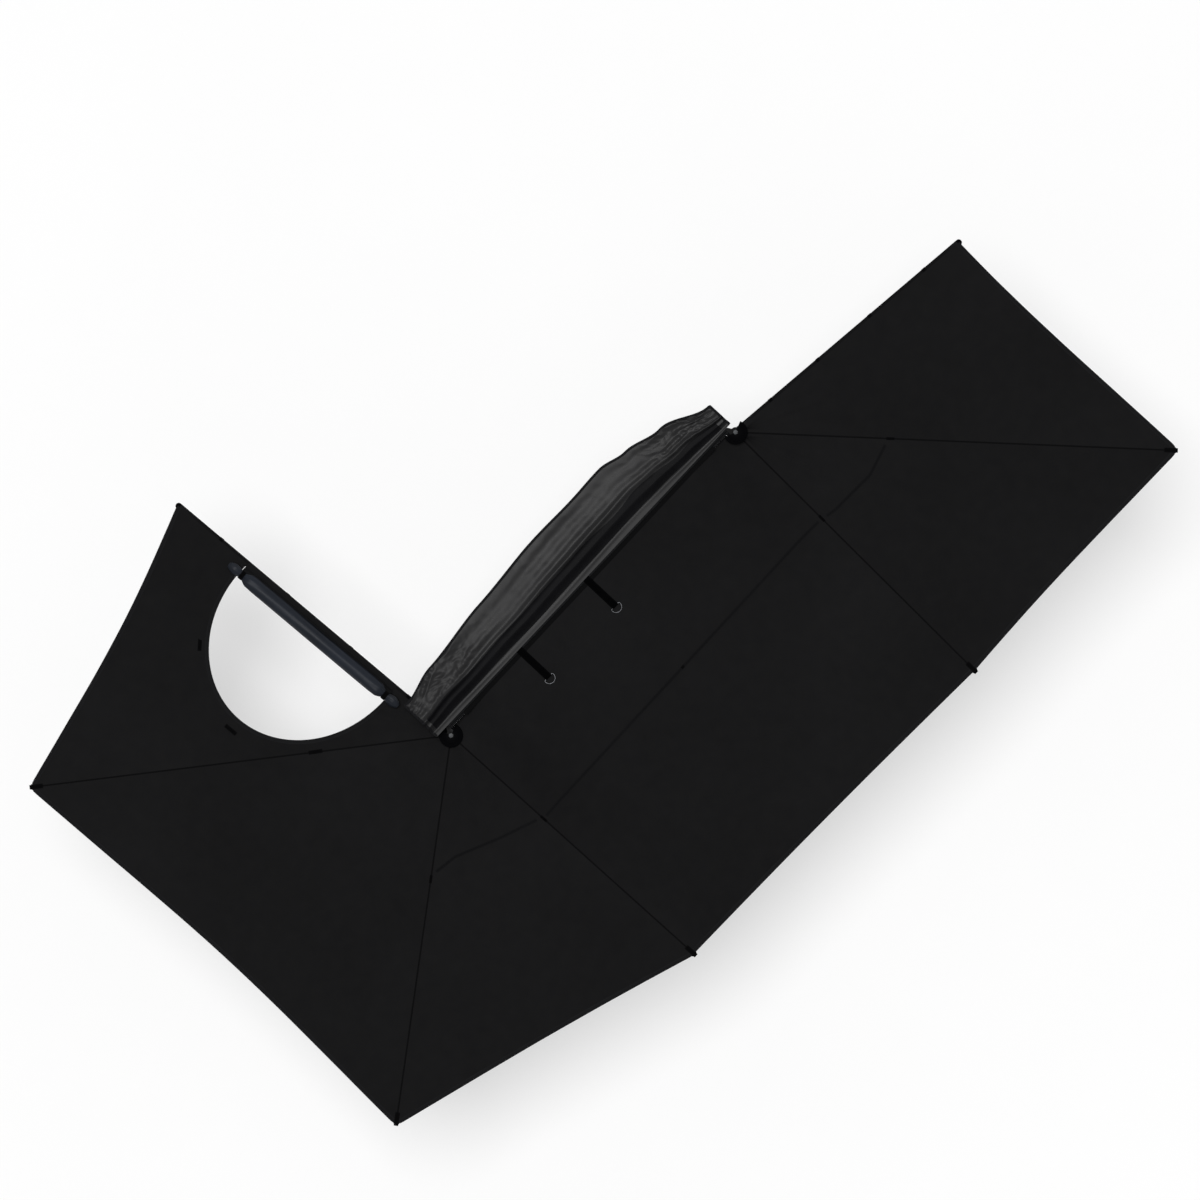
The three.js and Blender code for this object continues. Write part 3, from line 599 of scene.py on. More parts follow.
CANVAS = Finish(
    "canopy canvas", "canvas", Pattern.CANVAS, tone(15, 15, 16), tone(24, 24, 25), 0.86,
    drift=1.1, dust=0.02, shine=0.03,
)
SEAM = Finish(
    "canopy seam", "canvas", Pattern.CANVAS, tone(8, 8, 8), tone(13, 13, 14), 0.84,
    stitch_offset=0.0030, thread=tone(18, 18, 19), drift=0.3, shine=0.02,
)
HEM = Finish(
    "canopy hem", "canvas", Pattern.CANVAS, tone(17, 17, 18), tone(27, 27, 28), 0.82,
    stitch_offset=0.0095, drift=0.4, shine=0.03,
)
CROSS = Finish(
    "canopy cross seam", "canvas", Pattern.CANVAS, tone(11, 11, 12), tone(18, 18, 19), 0.84,
    stitch_offset=0.0055, thread=tone(30, 30, 32), drift=0.4, shine=0.03,
)
PATCH = Finish(
    "canopy patch", "webbing", Pattern.WEBBING, tone(3, 3, 3), tone(6, 6, 7), 0.8,
    stitch_offset=0.0085, thread=tone(18, 18, 19), drift=0.2, shine=0.02,
)
WEBBING = Finish(
    "black webbing", "webbing", Pattern.WEBBING, tone(1, 1, 1), tone(4, 4, 5), 0.8,
    drift=0.1, stitch_offset=0.0175, thread=tone(14, 14, 15), shine=0.01,
)
LOOP = Finish(
    "narrow webbing", "webbing", Pattern.WEBBING, tone(3, 3, 3), tone(7, 7, 8), 0.8,
    drift=0.1, stitch_offset=0.0085, thread=tone(20, 20, 22), shine=0.02,
)
FLAP = Finish(
    "flap cloth", "flap", Pattern.CANVAS, tone(17, 20, 25), tone(32, 36, 44), 0.42,
    drift=0.35, shine=0.10,
)
COVER = Finish(
    "cover cloth", "cover", Pattern.COATED, tone(22, 22, 23), tone(34, 34, 35), 0.40,
    drift=0.45, dust=0.02, relief=0.0002, shine=0.10,
)
# Dark cloth for the band in the cover's long fold: painted shade of the fold's valley.
COVER_SHADE_BAND = Finish(
    "cover painted shade band", "cover", Pattern.COATED, tone(10, 10, 11), tone(18, 18, 20), 0.5,
    drift=0.3, relief=0.0002, shine=0.03,
)
COVER_EDGE = Finish(
    "cover binding", "webbing", Pattern.WEBBING, tone(14, 14, 15), tone(22, 22, 24), 0.7,
    drift=0.2, stitch_offset=0.008, shine=0.05,
)
RAIL = Finish(
    "black anodised rail", "rail", Pattern.ANODISED, tone(2, 2, 3), tone(6, 6, 7), 0.5,
    metallic=0.2, relief=0.00008, drift=0.4, dust=0.01, worn=tone(44, 45, 47), shine=0.02,
)
ARM_TUBE = Finish(
    "black arm tube", "arm", Pattern.ANODISED, tone(3, 3, 4), tone(8, 8, 9), 0.5,
    metallic=0.2, relief=0.00006, drift=0.4, dust=0.01, worn=tone(34, 35, 36), shine=0.02,
)
BRACKET = Finish(
    "black powder coat", "bracket", Pattern.POWDER, tone(6, 6, 7), tone(11, 11, 12), 0.5,
    relief=0.0002, drift=0.15, dust=0.02, worn=tone(60, 61, 63), shine=0.04,
)
BRIGHT = Finish(
    "dark zinc", "bright", Pattern.ZINC, tone(30, 31, 32), tone(46, 47, 48), 0.46,
    metallic=0.9, relief=0.00005, drift=0.05, worn=tone(80, 81, 83),
)
RING = Finish(
    "dark ring wire", "bright", Pattern.ZINC, tone(58, 59, 61), tone(92, 93, 96), 0.40,
    metallic=0.9, relief=0.00004, drift=0.05, worn=tone(150, 151, 154),
)
NYLON = Finish(
    "moulded nylon", "nylon", Pattern.MOULDED, tone(1, 1, 2), tone(4, 4, 5), 0.6,
    relief=0.00015, drift=0.1, worn=tone(20, 20, 21), shine=0.01,
)


# ---- meshes


@dataclass
class Surface:
    """Points, faces and cloth coordinates of a mesh that is being made.

    Attributes:
        points: One row of X, Y, Z for each point.
        faces: Point numbers of each face.
        uv: Cloth coordinates in metres for each point, or None.
    """

    points: Array
    faces: list[tuple[int, ...]]
    uv: Array | None = None

    def thick(self, thickness: float, along_normals: bool = False) -> "Surface":
        """Closes an open surface into a sheet below it.

        Args:
            thickness: How thick the sheet gets.
            along_normals: Whether it is measured square to the surface, or down.

        Returns:
            The closed sheet.
        """
        count = len(self.points)
        down = self.normals() if along_normals else UP
        points = np.vstack([self.points, self.points - down * thickness])
        under = [tuple(i + count for i in reversed(face)) for face in self.faces]
        edges = {(f[k], f[(k + 1) % len(f)]) for f in self.faces for k in range(len(f))}
        rim = [(b, a, a + count, b + count) for a, b in sorted(edges) if (b, a) not in edges]
        uv = None if self.uv is None else np.vstack([self.uv, self.uv])
        return Surface(points, list(self.faces) + under + rim, uv)

    def normals(self) -> Array:
        """Unit normal at each point, from the faces around it."""
        total = np.zeros_like(self.points)
        for face in self.faces:
            a, b, c = (self.points[face[i]] for i in (0, 1, 2))
            square = np.cross(b - a, c - a)
            for i in face:
                total[i] += square
        length = np.linalg.norm(total, axis=1, keepdims=True)
        return total / np.maximum(length, NO_LENGTH)

    def joined(self, other: "Surface") -> "Surface":
        """This surface and another one as one."""
        shift = len(self.points)
        faces = self.faces + [tuple(i + shift for i in face) for face in other.faces]
        uv = None if self.uv is None or other.uv is None else np.vstack([self.uv, other.uv])
        return Surface(np.vstack([self.points, other.points]), faces, uv)

    def moved(self, matrix: Matrix) -> "Surface":
        """The surface with a matrix applied to its points."""
        m = np.array(matrix)
        return Surface(self.points @ m[:3, :3].T + m[:3, 3], self.faces, self.uv)

    def flipped(self) -> "Surface":
        """The surface with every face turned over."""
        return Surface(self.points, [tuple(reversed(face)) for face in self.faces], self.uv)

    def triangles(self) -> Iterator[tuple[Array, Array, Array]]:
        """The corners of each triangle that the faces split into."""
        for face in self.faces:
            for k in range(1, len(face) - 1):
                yield self.points[face[0]], self.points[face[k]], self.points[face[k + 1]]


def merged(surfaces: Sequence[Surface]) -> Surface:
    """Several surfaces as one, in their order."""
    total = surfaces[0]
    for surface in surfaces[1:]:
        total = total.joined(surface)
    return total


def sheet_area(surface: Surface) -> float:
    """Area of an open surface."""
    total = 0.0
    for corner, a, b in surface.triangles():
        total += float(np.linalg.norm(np.cross(a - corner, b - corner))) / 2.0
    return total


def run_along(line: Array) -> Array:
    """Distance from a line's first point to each of its points, measured along it."""
    steps = np.linalg.norm(np.diff(line, axis=0), axis=1)
    return np.concatenate([[0.0], np.cumsum(steps)])


def unit(vectors: Array) -> Array:
    """Rows of vectors, each made one long."""
    return vectors / np.linalg.norm(vectors, axis=1, keepdims=True)


def cloth_map(along: Array, across: Array) -> Array:
    """Cloth coordinates from places along and across, spread to one grid."""
    return np.stack(np.broadcast_arrays(along, across), axis=-1)


def grid(points: Array, uv: Array | None = None, round_rows: bool = False) -> Surface:
    """A surface from rows of points.

    Args:
        points: Rows x columns x 3.
        uv: Rows x columns x 2.
        round_rows: Whether each row closes on itself.

    Returns:
        The surface. Seen from outside, columns run to the left of the rows.
    """
    rows, columns = points.shape[:2]
    faces = []
    for row in range(0, (rows - 1) * columns, columns):
        for j in range(columns if round_rows else columns - 1):
            k = (j + 1) % columns
            faces.append((row + j, row + k, row + columns + k, row + columns + j))
    flat_uv = None if uv is None else uv.reshape(-1, 2)
    return Surface(points.reshape(-1, 3), faces, flat_uv)


def facing_up(surface: Surface) -> Surface:
    """The surface, turned over where it looks down."""
    return surface.flipped() if surface.normals()[:, 2].sum() < 0.0 else surface


def tube(line: Array, section: Array, up: Array, closed: bool = False) -> Surface:
    """A section drawn along a line.

    Args:
        line: Points of the middle line.
        section: Points of the section, as sideways and up, counter-clockwise seen from the end.
        up: The section's up direction, one for each point or one for all.
        closed: Whether the line is a ring.

    Returns:
        The closed solid's surface.
    """
    if closed:
        ahead = unit(np.roll(line, -1, axis=0) - np.roll(line, 1, axis=0))
    else:
        ahead = unit(np.gradient(line, axis=0))
    side = unit(np.cross(ahead, np.broadcast_to(up, line.shape)))
    true_up = np.cross(side, ahead)
    aside, raised = section[None, :, :1], section[None, :, 1:]
    rows = line[:, None] + side[:, None] * aside + true_up[:, None] * raised
    uv = cloth_map(run_along(line)[:, None], section[None, :, 0])
    surface = grid(rows, uv, round_rows=True).flipped()
    count = len(section)
    last = (len(line) - 1) * count
    if closed:
        for j in range(count):
            k = (j + 1) % count
            surface.faces.append((j, k, last + k, last + j))
    else:
        surface.faces.append(tuple(range(count)))
        surface.faces.append(tuple(last + j for j in reversed(range(count))))
    return surface


def oblong(width: float, height: float, corner: float, steps: int = 3) -> Array:
    """Outline of a rectangle with round corners, counter-clockwise, about its middle."""
    points = []
    for k, (sx, sy) in enumerate(((1, 1), (-1, 1), (-1, -1), (1, -1))):
        cx, cy = sx * (width / 2 - corner), sy * (height / 2 - corner)
        for i in range(steps + 1):
            turn = math.pi / 2 * (k + i / steps)
            points.append((cx + corner * math.cos(turn), cy + corner * math.sin(turn)))
    return np.array(points)


def circle(radius: float, sides: int) -> Array:
    """Points round a circle, counter-clockwise."""
    turns = np.arange(sides) * FULL_TURN / sides
    return np.stack([radius * np.cos(turns), radius * np.sin(turns)], axis=1)


def lathe(profile: Sequence[Pair], sides: int = 40) -> Surface:
    """A solid turned round Z from a profile that starts and ends on the axis or closes on itself.

    Args:
        profile: Radius and height pairs, from the top down on the outside.
        sides: Steps round the axis.

    Returns:
        The surface.
    """
    turns = np.arange(sides) * FULL_TURN / sides
    rings = [[(r * math.cos(t), r * math.sin(t), z) for t in turns] for r, z in profile]
    return grid(np.array(rings), None, round_rows=True).flipped()


def outward(surface: Surface) -> Surface:
    """The closed surface, turned over where its faces look inward."""
    volume = 0.0
    for corner, a, b in surface.triangles():
        volume += float(np.dot(corner, np.cross(a, b)))
    return surface.flipped() if volume < 0.0 else surface


def make(name: str, surface: Surface, finish: Finish, crease: float = CLOTH_CREASE) -> Piece:
    """Makes an object from a surface.

    Args:
        name: The piece's name.
        surface: Its points and faces.
        finish: Its finish.
        crease: Edges sharper than this many degrees stay sharp.

    Returns:
        The object, in the scene and dressed.
    """
    mesh = bpy.data.meshes.new(name)
    mesh.from_pydata(surface.points.tolist(), [], surface.faces)
    if surface.uv is not None:
        layer = mesh.uv_layers.new(name="cloth")
        corners = np.zeros(len(mesh.loops), dtype=np.int32)
        mesh.loops.foreach_get("vertex_index", corners)
        layer.data.foreach_set("uv", surface.uv[corners].ravel().astype(np.float32))
    mesh.validate()
    return finish_mesh(name, mesh, finish, crease)


def finish_mesh(name: str, mesh: bpy.types.Mesh, finish: Finish, crease: float) -> Piece:
    """Smooths a mesh, gives it its finish and puts it in the scene.

    Args:
        name: The piece's name.
        mesh: The mesh.
        finish: Its finish.
        crease: Edges sharper than this many degrees stay sharp.

    Returns:
        The object.
    """
    mesh.shade_smooth()
    mesh.set_sharp_from_angle(angle=math.radians(crease))
    mesh.materials.clear()
    mesh.materials.append(finish.material())
    piece = bpy.data.objects.new(name, mesh)
    bpy.context.scene.collection.objects.link(piece)
    return piece


def settle(piece: Piece, body: Body, *nodes: str) -> Piece:
    """Lets a piece ride on a body, and stand for CAD nodes.

    Args:
        piece: The piece.
        body: The body that it rides on.
        *nodes: CAD nodes that it stands for.

    Returns:
        The piece.
    """
    if nodes:
        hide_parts(*nodes)
    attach(piece, body.value)
    LOG.info("%s rides on %s", piece.name, body.value)
    return piece


def refine(
    node: str, finish: Finish, body: Body, bevel: float = SOFT_EDGE, segments: int = 2
) -> Piece:
    """Makes a finer piece from a plain CAD solid, with rounded edges.

    Args:
        node: The CAD node.
        finish: Its finish.
        body: The body that it rides on.
        bevel: Width of the rounding.
        segments: Steps across the rounding.

    Returns:
        The piece, which stands for the node.
    """
    name = f"{node}_fine"
    mesh = bpy.data.meshes.new(name)
    work = bmesh.new()
    work.from_mesh(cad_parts[node].data)
    bmesh.ops.remove_doubles(work, verts=work.verts, dist=WELD)
    flat = math.radians(FLAT_DEGREES)
    bmesh.ops.dissolve_limit(work, angle_limit=flat, verts=work.verts, edges=work.edges)
    limit = math.radians(SHARP_DEGREES)
    edges = [e for e in work.edges if len(e.link_faces) == 2]
    sharp = [e for e in edges if e.calc_face_angle(0.0) > limit]
    bmesh.ops.bevel(
        work, geom=sharp, offset=bevel, offset_type="OFFSET", segments=segments,
        profile=ROUNDING, affect="EDGES", clamp_overlap=True,
    )
    work.to_mesh(mesh)
    work.free()
    return settle(finish_mesh(name, mesh, finish, HARD_CREASE), body, node)


# ---- studio


@dataclass
class Studio:
    """Camera, light and floor, taken from the photograph's view from straight above.

    Attributes:
        right: Plan direction of the picture's right side.
        up: Plan direction of the picture's top.
        centre: Plan place in the middle of the picture.
        span: Width of the picture at the canopy.
        canopy_z: Height at which the span is measured.
        lens: Focal length in millimetres.
        floor_z: Height of the floor.
        floor_tones: The floor's darker and lighter tones.
        floor_glow: Share of plain white that the floor shows.
        sky: Strength of the light from all round.
        sun: Strength of the lamp.
        sun_lean: Lean of the lamp's light from straight down, in degrees.
        sun_softness: Width of the lamp in the sky, in degrees.
    """

    right: Pair = (0.684, -0.7295)
    up: Pair = (0.7295, 0.684)
    centre: Pair = (-0.0406, -0.2094)
    span: float = 6.96
    canopy_z: float = 0.05
    lens: float = 200.0
    sensor: float = 36.0
    far_clip: float = 200.0
    floor_z: float = -1.9
    floor_half: float = 26.0
    floor_tones: tuple[tuple[float, ...], ...] = (tone(251, 251, 251), tone(254, 254, 254))
    floor_roughness: float = 0.9
    floor_glow: float = 0.5
    sky: float = 0.27
    sun: float = 2.35
    sun_lean: float = 8.0
    sun_softness: float = 24.0
    sun_away: float = 6.0

    def build(self) -> None:
        """Builds the camera, the light and the floor."""
        self._camera()
        self._world()
        self._sun()
        self._floor()
        bpy.context.scene.view_settings.view_transform = "Standard"

    def _camera(self) -> None:
        """Looks straight down, turned as the photograph is."""
        data = bpy.data.cameras.new("photo view")
        data.lens, data.sensor_width = self.lens, self.sensor
        data.clip_end = self.far_clip
        camera = bpy.data.objects.new("photo_view", data)
        height = self.canopy_z + self.span * self.lens / self.sensor
        axes = Matrix(((*self.right, 0.0), (*self.up, 0.0), (0.0, 0.0, 1.0))).transposed()
        camera.matrix_world = Matrix.Translation((*self.centre, height)) @ axes.to_4x4()
        bpy.context.scene.collection.objects.link(camera)
        bpy.context.scene.camera = camera

    @staticmethod
    def _seen(w: Wiring) -> Socket:
        """One for the rays that show the background."""
        path = w.add("ShaderNodeLightPath")
        seen = w.math("MAXIMUM", path.outputs["Is Camera Ray"], path.outputs["Is Glossy Ray"])
        return w.math("MAXIMUM", seen, path.outputs["Is Transmission Ray"])

    def _world(self) -> None:
        """Soft light from all round, and a plain white background."""
        world = bpy.data.worlds.new("studio")
        world.use_nodes = True
        world.node_tree.nodes.clear()
        w = Wiring(world.node_tree)
        soft, white = w.add("ShaderNodeBackground"), w.add("ShaderNodeBackground")
        soft.inputs["Strength"].default_value = self.sky
        for background in (soft, white):
            background.inputs["Color"].default_value = WHITE
        surface = w.shaders(self._seen(w), soft.outputs[0], white.outputs[0])
        w.feed(w.add("ShaderNodeOutputWorld").inputs["Surface"], surface)
        bpy.context.scene.world = world

    def _sun(self) -> None:
        """One soft lamp from the upper left of the picture."""
        data = bpy.data.lights.new("soft sun", "SUN")
        data.energy, data.angle = self.sun, math.radians(self.sun_softness)
        lamp = bpy.data.objects.new("soft_sun", data)
        lean = math.radians(self.sun_lean)
        x, y = (up - right for up, right in zip(self.up, self.right))
        toward = Vector((x, y, 0.0)).normalized()
        direction = Vector((toward.x * math.sin(lean), toward.y * math.sin(lean), math.cos(lean)))
        lamp.rotation_euler = direction.to_track_quat("Z", "Y").to_euler()
        lamp.location = direction * self.sun_away
        bpy.context.scene.collection.objects.link(lamp)

    def _floor(self) -> None:
        """A pale floor that takes the shadow."""
        half = self.floor_half
        corners = [(-half, -half), (half, -half), (half, half), (-half, half)]
        points = [(x, y, self.floor_z) for x, y in corners]
        mesh = bpy.data.meshes.new("floor")
        mesh.from_pydata(points, [], [(0, 1, 2, 3)])
        material = bpy.data.materials.new("pale floor")
        material.use_nodes = True
        w = Wiring(material.node_tree)
        shader = material.node_tree.nodes["Principled BSDF"]
        place = w.add("ShaderNodeTexCoord").outputs["Object"]
        drift = w.group(EFFECTS.drift, vector=place, size=2.0, mottle=0.2).outputs[0]
        w.feed(shader.inputs["Base Color"], w.colour(drift, *self.floor_tones))
        shader.inputs["Roughness"].default_value = self.floor_roughness
        glow = w.math("MULTIPLY", self._seen(w), self.floor_glow)
        surface = w.shaders(glow, shader.outputs[0], w.add("ShaderNodeEmission").outputs[0])
        w.feed(material.node_tree.nodes["Material Output"].inputs["Surface"], surface)
        mesh.materials.append(material)
        floor = bpy.data.objects.new("floor", mesh)
        bpy.context.scene.collection.objects.link(floor)


# ---- canopy panels


def billow(x: Array, y: Array, seed: int, size: float) -> Array:
    """Soft irregular waves from a few crossed sines, about -1 to 1.

    Args:
        x: Plan places.
        y: Plan places.
        seed: Picks the waves.
        size: Typical wave length.

    Returns:
        A value at each place.
    """
    waves, evening = 7, 4.0
    draw = np.random.default_rng(seed)
    total = np.zeros_like(np.asarray(x, float))
    for _ in range(waves):
        turn, phase = draw.uniform(0.0, FULL_TURN, 2)
        rate = FULL_TURN / (size * draw.uniform(0.7, 1.7))
        total = total + np.sin(rate * (x * math.cos(turn) + y * math.sin(turn)) + phase)
    return total / evening


def hump(distance: Array, width: float) -> Array:
    """A smooth bump, 1 at no distance, that fades over a width."""
    return np.exp(-((distance / width) ** 2))


def positions(piece: Piece) -> Array:
    """A piece's points as its mesh holds them."""
    co = np.zeros(len(piece.data.vertices) * 3, dtype=np.float32)
    piece.data.vertices.foreach_get("co", co)
    return co.reshape(-1, 3)


@dataclass
class Panel:
    """One canopy panel, whose cloth folds between two bodies.

    Attributes:
        name: The panel's name.
        low_body: The body for its first side; not used.
        high_body: The body for its second side; not used.
        pleats: How many pleats it folds into.
        seed: Picks its wrinkles.
        pleat_near: Distance of the pleats' near folds from the arm, folded.
        pleat_far: Distance of their far folds.
    """

    name: str
    low_body: Body
    high_body: Body
    pleats: float = 5.0
    seed: int = 1
    pleat_near: float = 0.027
    pleat_far: float = 0.066

    def hub(self) -> Hub:
        """The king pin that the panel turns round."""
        raise NotImplementedError

    def start(self) -> float:
        """Angle of the first side."""
        raise NotImplementedError

    def spread(self) -> float:
        """Angle from the first side to the second."""
        raise NotImplementedError

    def base(self, x: Array, y: Array) -> Array:
        """Height of the smooth underside."""
        raise NotImplementedError

    def wrinkles(self, x: Array, y: Array) -> Array:
        """Height of the wrinkles, none over the arms."""
        raise NotImplementedError

    def top(self, x: Array, y: Array) -> Array:
        """Height of the cloth's top."""
        return self.base(x, y) + CLOTH + self.wrinkles(x, y)

    def middle(self) -> float:
        """Angle halfway between the two sides."""
        return self.start() + self.spread() / 2.0

    def weights(self, x: Array, y: Array) -> Array:
        """How far each place follows the second body rather than the first.

        Folded, the cloth lies flat on both arms and in pleats beside them.

        Args:
            x: Plan places at rest.
            y: Plan places at rest.

        Returns:
            Shares from 0 to 1.
        """
        least_distance, least_turn, most_turn = 0.03, -0.5, 1.4
        ripple, first_blend, second_blend, most_sine = 0.006, 0.05, 0.045, 0.8
        angle, distance = self.hub().polar(x, y)
        angle = angle - self.start()
        distance = np.maximum(distance, least_distance)
        spread = self.spread()
        near = distance * np.sin(np.clip(angle, least_turn, most_turn))
        far = distance * np.sin(np.clip(spread - angle, least_turn, most_turn))
        share = np.clip(angle / spread, 0.0, 1.0)
        wave = 0.5 - 0.5 * np.cos(FULL_TURN * self.pleats * share)
        pleat = mix(self.pleat_near, self.pleat_far, wave)
        pleat = pleat + ripple * billow(x, y, self.seed + 50, 0.5)
        aside = mix(near, pleat, smooth((near - OVER_ARM) / first_blend))
        aside = mix(aside, -far, smooth(1.0 - (far - OVER_ARM) / second_blend))
        folded = np.arcsin(np.clip(aside / distance, -most_sine, most_sine))
        weight = np.clip((angle - folded) / spread, 0.0, 1.0)
        return np.where(near <= OVER_ARM, 0.0, np.where(far <= OVER_ARM, 1.0, weight))

    def fold(self, piece: Piece) -> Piece:
        """Bakes a piece's place into its mesh and works out its fold weights, which are not kept.

        Args:
            piece: The piece, with its mesh final and no parent.

        Returns:
            The piece.
        """
        hub, middle = self.hub(), self.middle()
        low, high = hub.place(middle - 0.2, 1.0), hub.place(middle + 0.2, 1.0)
        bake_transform(piece)
        co = positions(piece)
        self.weights(co[:, 0].astype(float), co[:, 1].astype(float))
        return piece


@dataclass
class Sector(Panel):
    """A panel between two neighbouring arms of one hub."""

    first: Arm = ARMS[4]
    second: Arm = ARMS[3]
    hollow: float = 0.0

    def hub(self) -> Hub:
        """The king pin that the panel turns round."""
        return self.first.hub

    def start(self) -> float:
        """Angle of the first side."""
        return self.first.angle

    def spread(self) -> float:
        """Angle from the first side to the second."""
        return self.second.angle - self.first.angle

    def asides(self, x: Array, y: Array) -> tuple:
        """Distances from the two arms' middle lines, and from the pin."""
        angle, distance = self.hub().polar(x, y)
        near = distance * np.sin(np.clip(angle - self.first.angle, -1.0, math.pi / 2))
        far = distance * np.sin(np.clip(self.second.angle - angle, -1.0, math.pi / 2))
        return near, far, distance

    def base(self, x: Array, y: Array) -> Array:
        """Height of the smooth underside."""
        near, far, distance = self.asides(x, y)
        a, b = np.maximum(near - OVER_ARM, 0.0), np.maximum(far - OVER_ARM, 0.0)
        share = a / np.maximum(a + b, NO_DISTANCE)
        hang = SAG * np.sin(math.pi * share) * smooth(distance / self.first.reach)
        return mix(self.first.cloth_z, self.second.cloth_z, share) - hang

    def wrinkles(self, x: Array, y: Array) -> Array:
        """Height of the wrinkles, none over the arms."""
        near, far, distance = self.asides(x, y)
        clear = smooth((np.minimum(near, far) - OVER_ARM) / 0.16)
        share = np.clip(near / np.maximum(near + far, NO_DISTANCE), 0.0, 1.0)
        fan = np.sin(FULL_TURN * (4.0 * share + 0.13 * self.seed)) * hump(distance - 0.35, 0.3)
        pull = np.sin(FULL_TURN * 5.0 * (share + 0.05 * billow(x, y, self.seed + 3, 0.9)))
        pull = pull * smooth((distance - 1.1) / 0.9) * 0.0022
        return clear * (0.0035 * fan + pull + 0.0038 * billow(x, y, self.seed, 0.55))

    def edge(self, share: Array) -> Array:
        """Reach of the outer edge at a share of the spread."""
        spread = self.spread()
        a, b = self.first.reach - CLOTH_SHORT, self.second.reach - CLOTH_SHORT
        across = a * np.sin(share * spread) + b * np.sin((1.0 - share) * spread)
        return a * b * math.sin(spread) / across - self.hollow * np.sin(math.pi * share)

    def lattice(self, rows: int = 84, columns: int = 60) -> Array:
        """Plan places of the whole panel, rows outward and columns across."""
        over = [MIDDLE_GAP, OVER_ARM / 2]
        share = np.concatenate([[0.0, 0.0], np.linspace(0.0, 1.0, columns), [1.0, 1.0]])
        gap = np.concatenate([over, np.full(columns, OVER_ARM), over[::-1]])
        place = np.zeros((rows + 1, len(share), 2))
        reach = self.edge(share)
        for i in range(rows + 1):
            distance = mix(CLOTH_START, reach, i / rows)
            low = self.first.angle + np.arcsin(gap / distance)
            high = self.second.angle - np.arcsin(gap / distance)
            place[i, :, 0], place[i, :, 1] = self.hub().place(mix(low, high, share), distance)
        return place


@dataclass
class MainHalf(Panel):
    """One half of the main panel, from the rail to the line between the tips of arms 4 and 5."""

    arm: Arm = ARMS[4]

    def hub(self) -> Hub:
        """The king pin that the panel turns round."""
        return self.arm.hub

    def start(self) -> float:
        """Angle of the first side, along the rail."""
        return 0.0

    def spread(self) -> float:
        """Angle from the rail to the arm."""
        return self.arm.angle

    def shares(self, x: Array, y: Array) -> tuple:
        """Distance outward, to the nearer arm, and the share across between arms 4 and 5."""
        outward = PIVOT_Y - y
        first = x - REAR.place(ARMS[4].angle, outward)[0]
        second = FRONT.place(ARMS[5].angle, outward)[0] - x
        a, b = np.maximum(first - OVER_ARM, 0.0), np.maximum(second - OVER_ARM, 0.0)
        return outward, np.minimum(first, second), a / np.maximum(a + b, NO_DISTANCE)

    def base(self, x: Array, y: Array) -> Array:
        """Height of the smooth underside."""
        beside_width, rail_start, rail_width = 0.32, 0.27, 0.9
        outward_y, nearest, share = self.shares(x, y)
        arm_z = mix(ARMS[4].cloth_z, ARMS[5].cloth_z, share)
        beside = smooth((nearest - OVER_ARM) / beside_width)
        railward = 1.0 - smooth((outward_y - rail_start) / rail_width)
        hang = SAG * np.sin(math.pi * share) * smooth(outward_y / ARMS[4].reach)
        return mix(arm_z, RAIL_TOP_Z - CLOTH, beside * railward) - hang

    def wrinkles(self, x: Array, y: Array) -> Array:
        """Height of the wrinkles, none over the arms or at the rail."""
        outward_y, nearest, _ = self.shares(x, y)
        clear = smooth((nearest - OVER_ARM) / 0.2) * smooth((outward_y + 0.02) / 0.3)
        distance = np.hypot(nearest, outward_y)
        angle = np.arctan2(nearest, np.maximum(outward_y, 1e-4))
        fan = np.sin(11.0 * angle) * hump(distance - 0.4, 0.35)
        return clear * (0.004 * fan + 0.0042 * billow(x, y, self.seed, 0.7))

    def lattice(self, rows: int = 84, columns: int = 56) -> Array:
        """Plan places of the half panel, rows outward and columns from the arm to the middle."""
        side = self.arm.hub.side
        inner = np.array(self.arm.hub.place(self.arm.angle, CLOTH_START))
        outer, other = (
            np.array(arm.hub.place(arm.angle, arm.reach - CLOTH_SHORT))
            for arm in (ARMS[4], ARMS[5])[::side]
        )
        lines = []
        for gap in (MIDDLE_GAP, OVER_ARM / 2, OVER_ARM):
            step = np.array([side * gap, 0.0])
            lines.append((inner + step, outer + step))
        for k in range(columns + 1):
            share = k / columns
            rail_x = mix(self.arm.hub.x + side * RAIL_END_COLUMN, 0.0, share)
            along = share / 2.0
            finish = mix(outer + step, other - step, along)
            finish = finish + np.array([0.0, MAIN_HOLLOW * math.sin(math.pi * along)])
            lines.append((np.array([rail_x, RAIL_FACE_Y - TOUCH]), finish))
        starts, finishes = np.array(lines).transpose(1, 0, 2)
        return mix(starts, finishes, np.linspace(0.0, 1.0, rows + 1)[:, None, None])


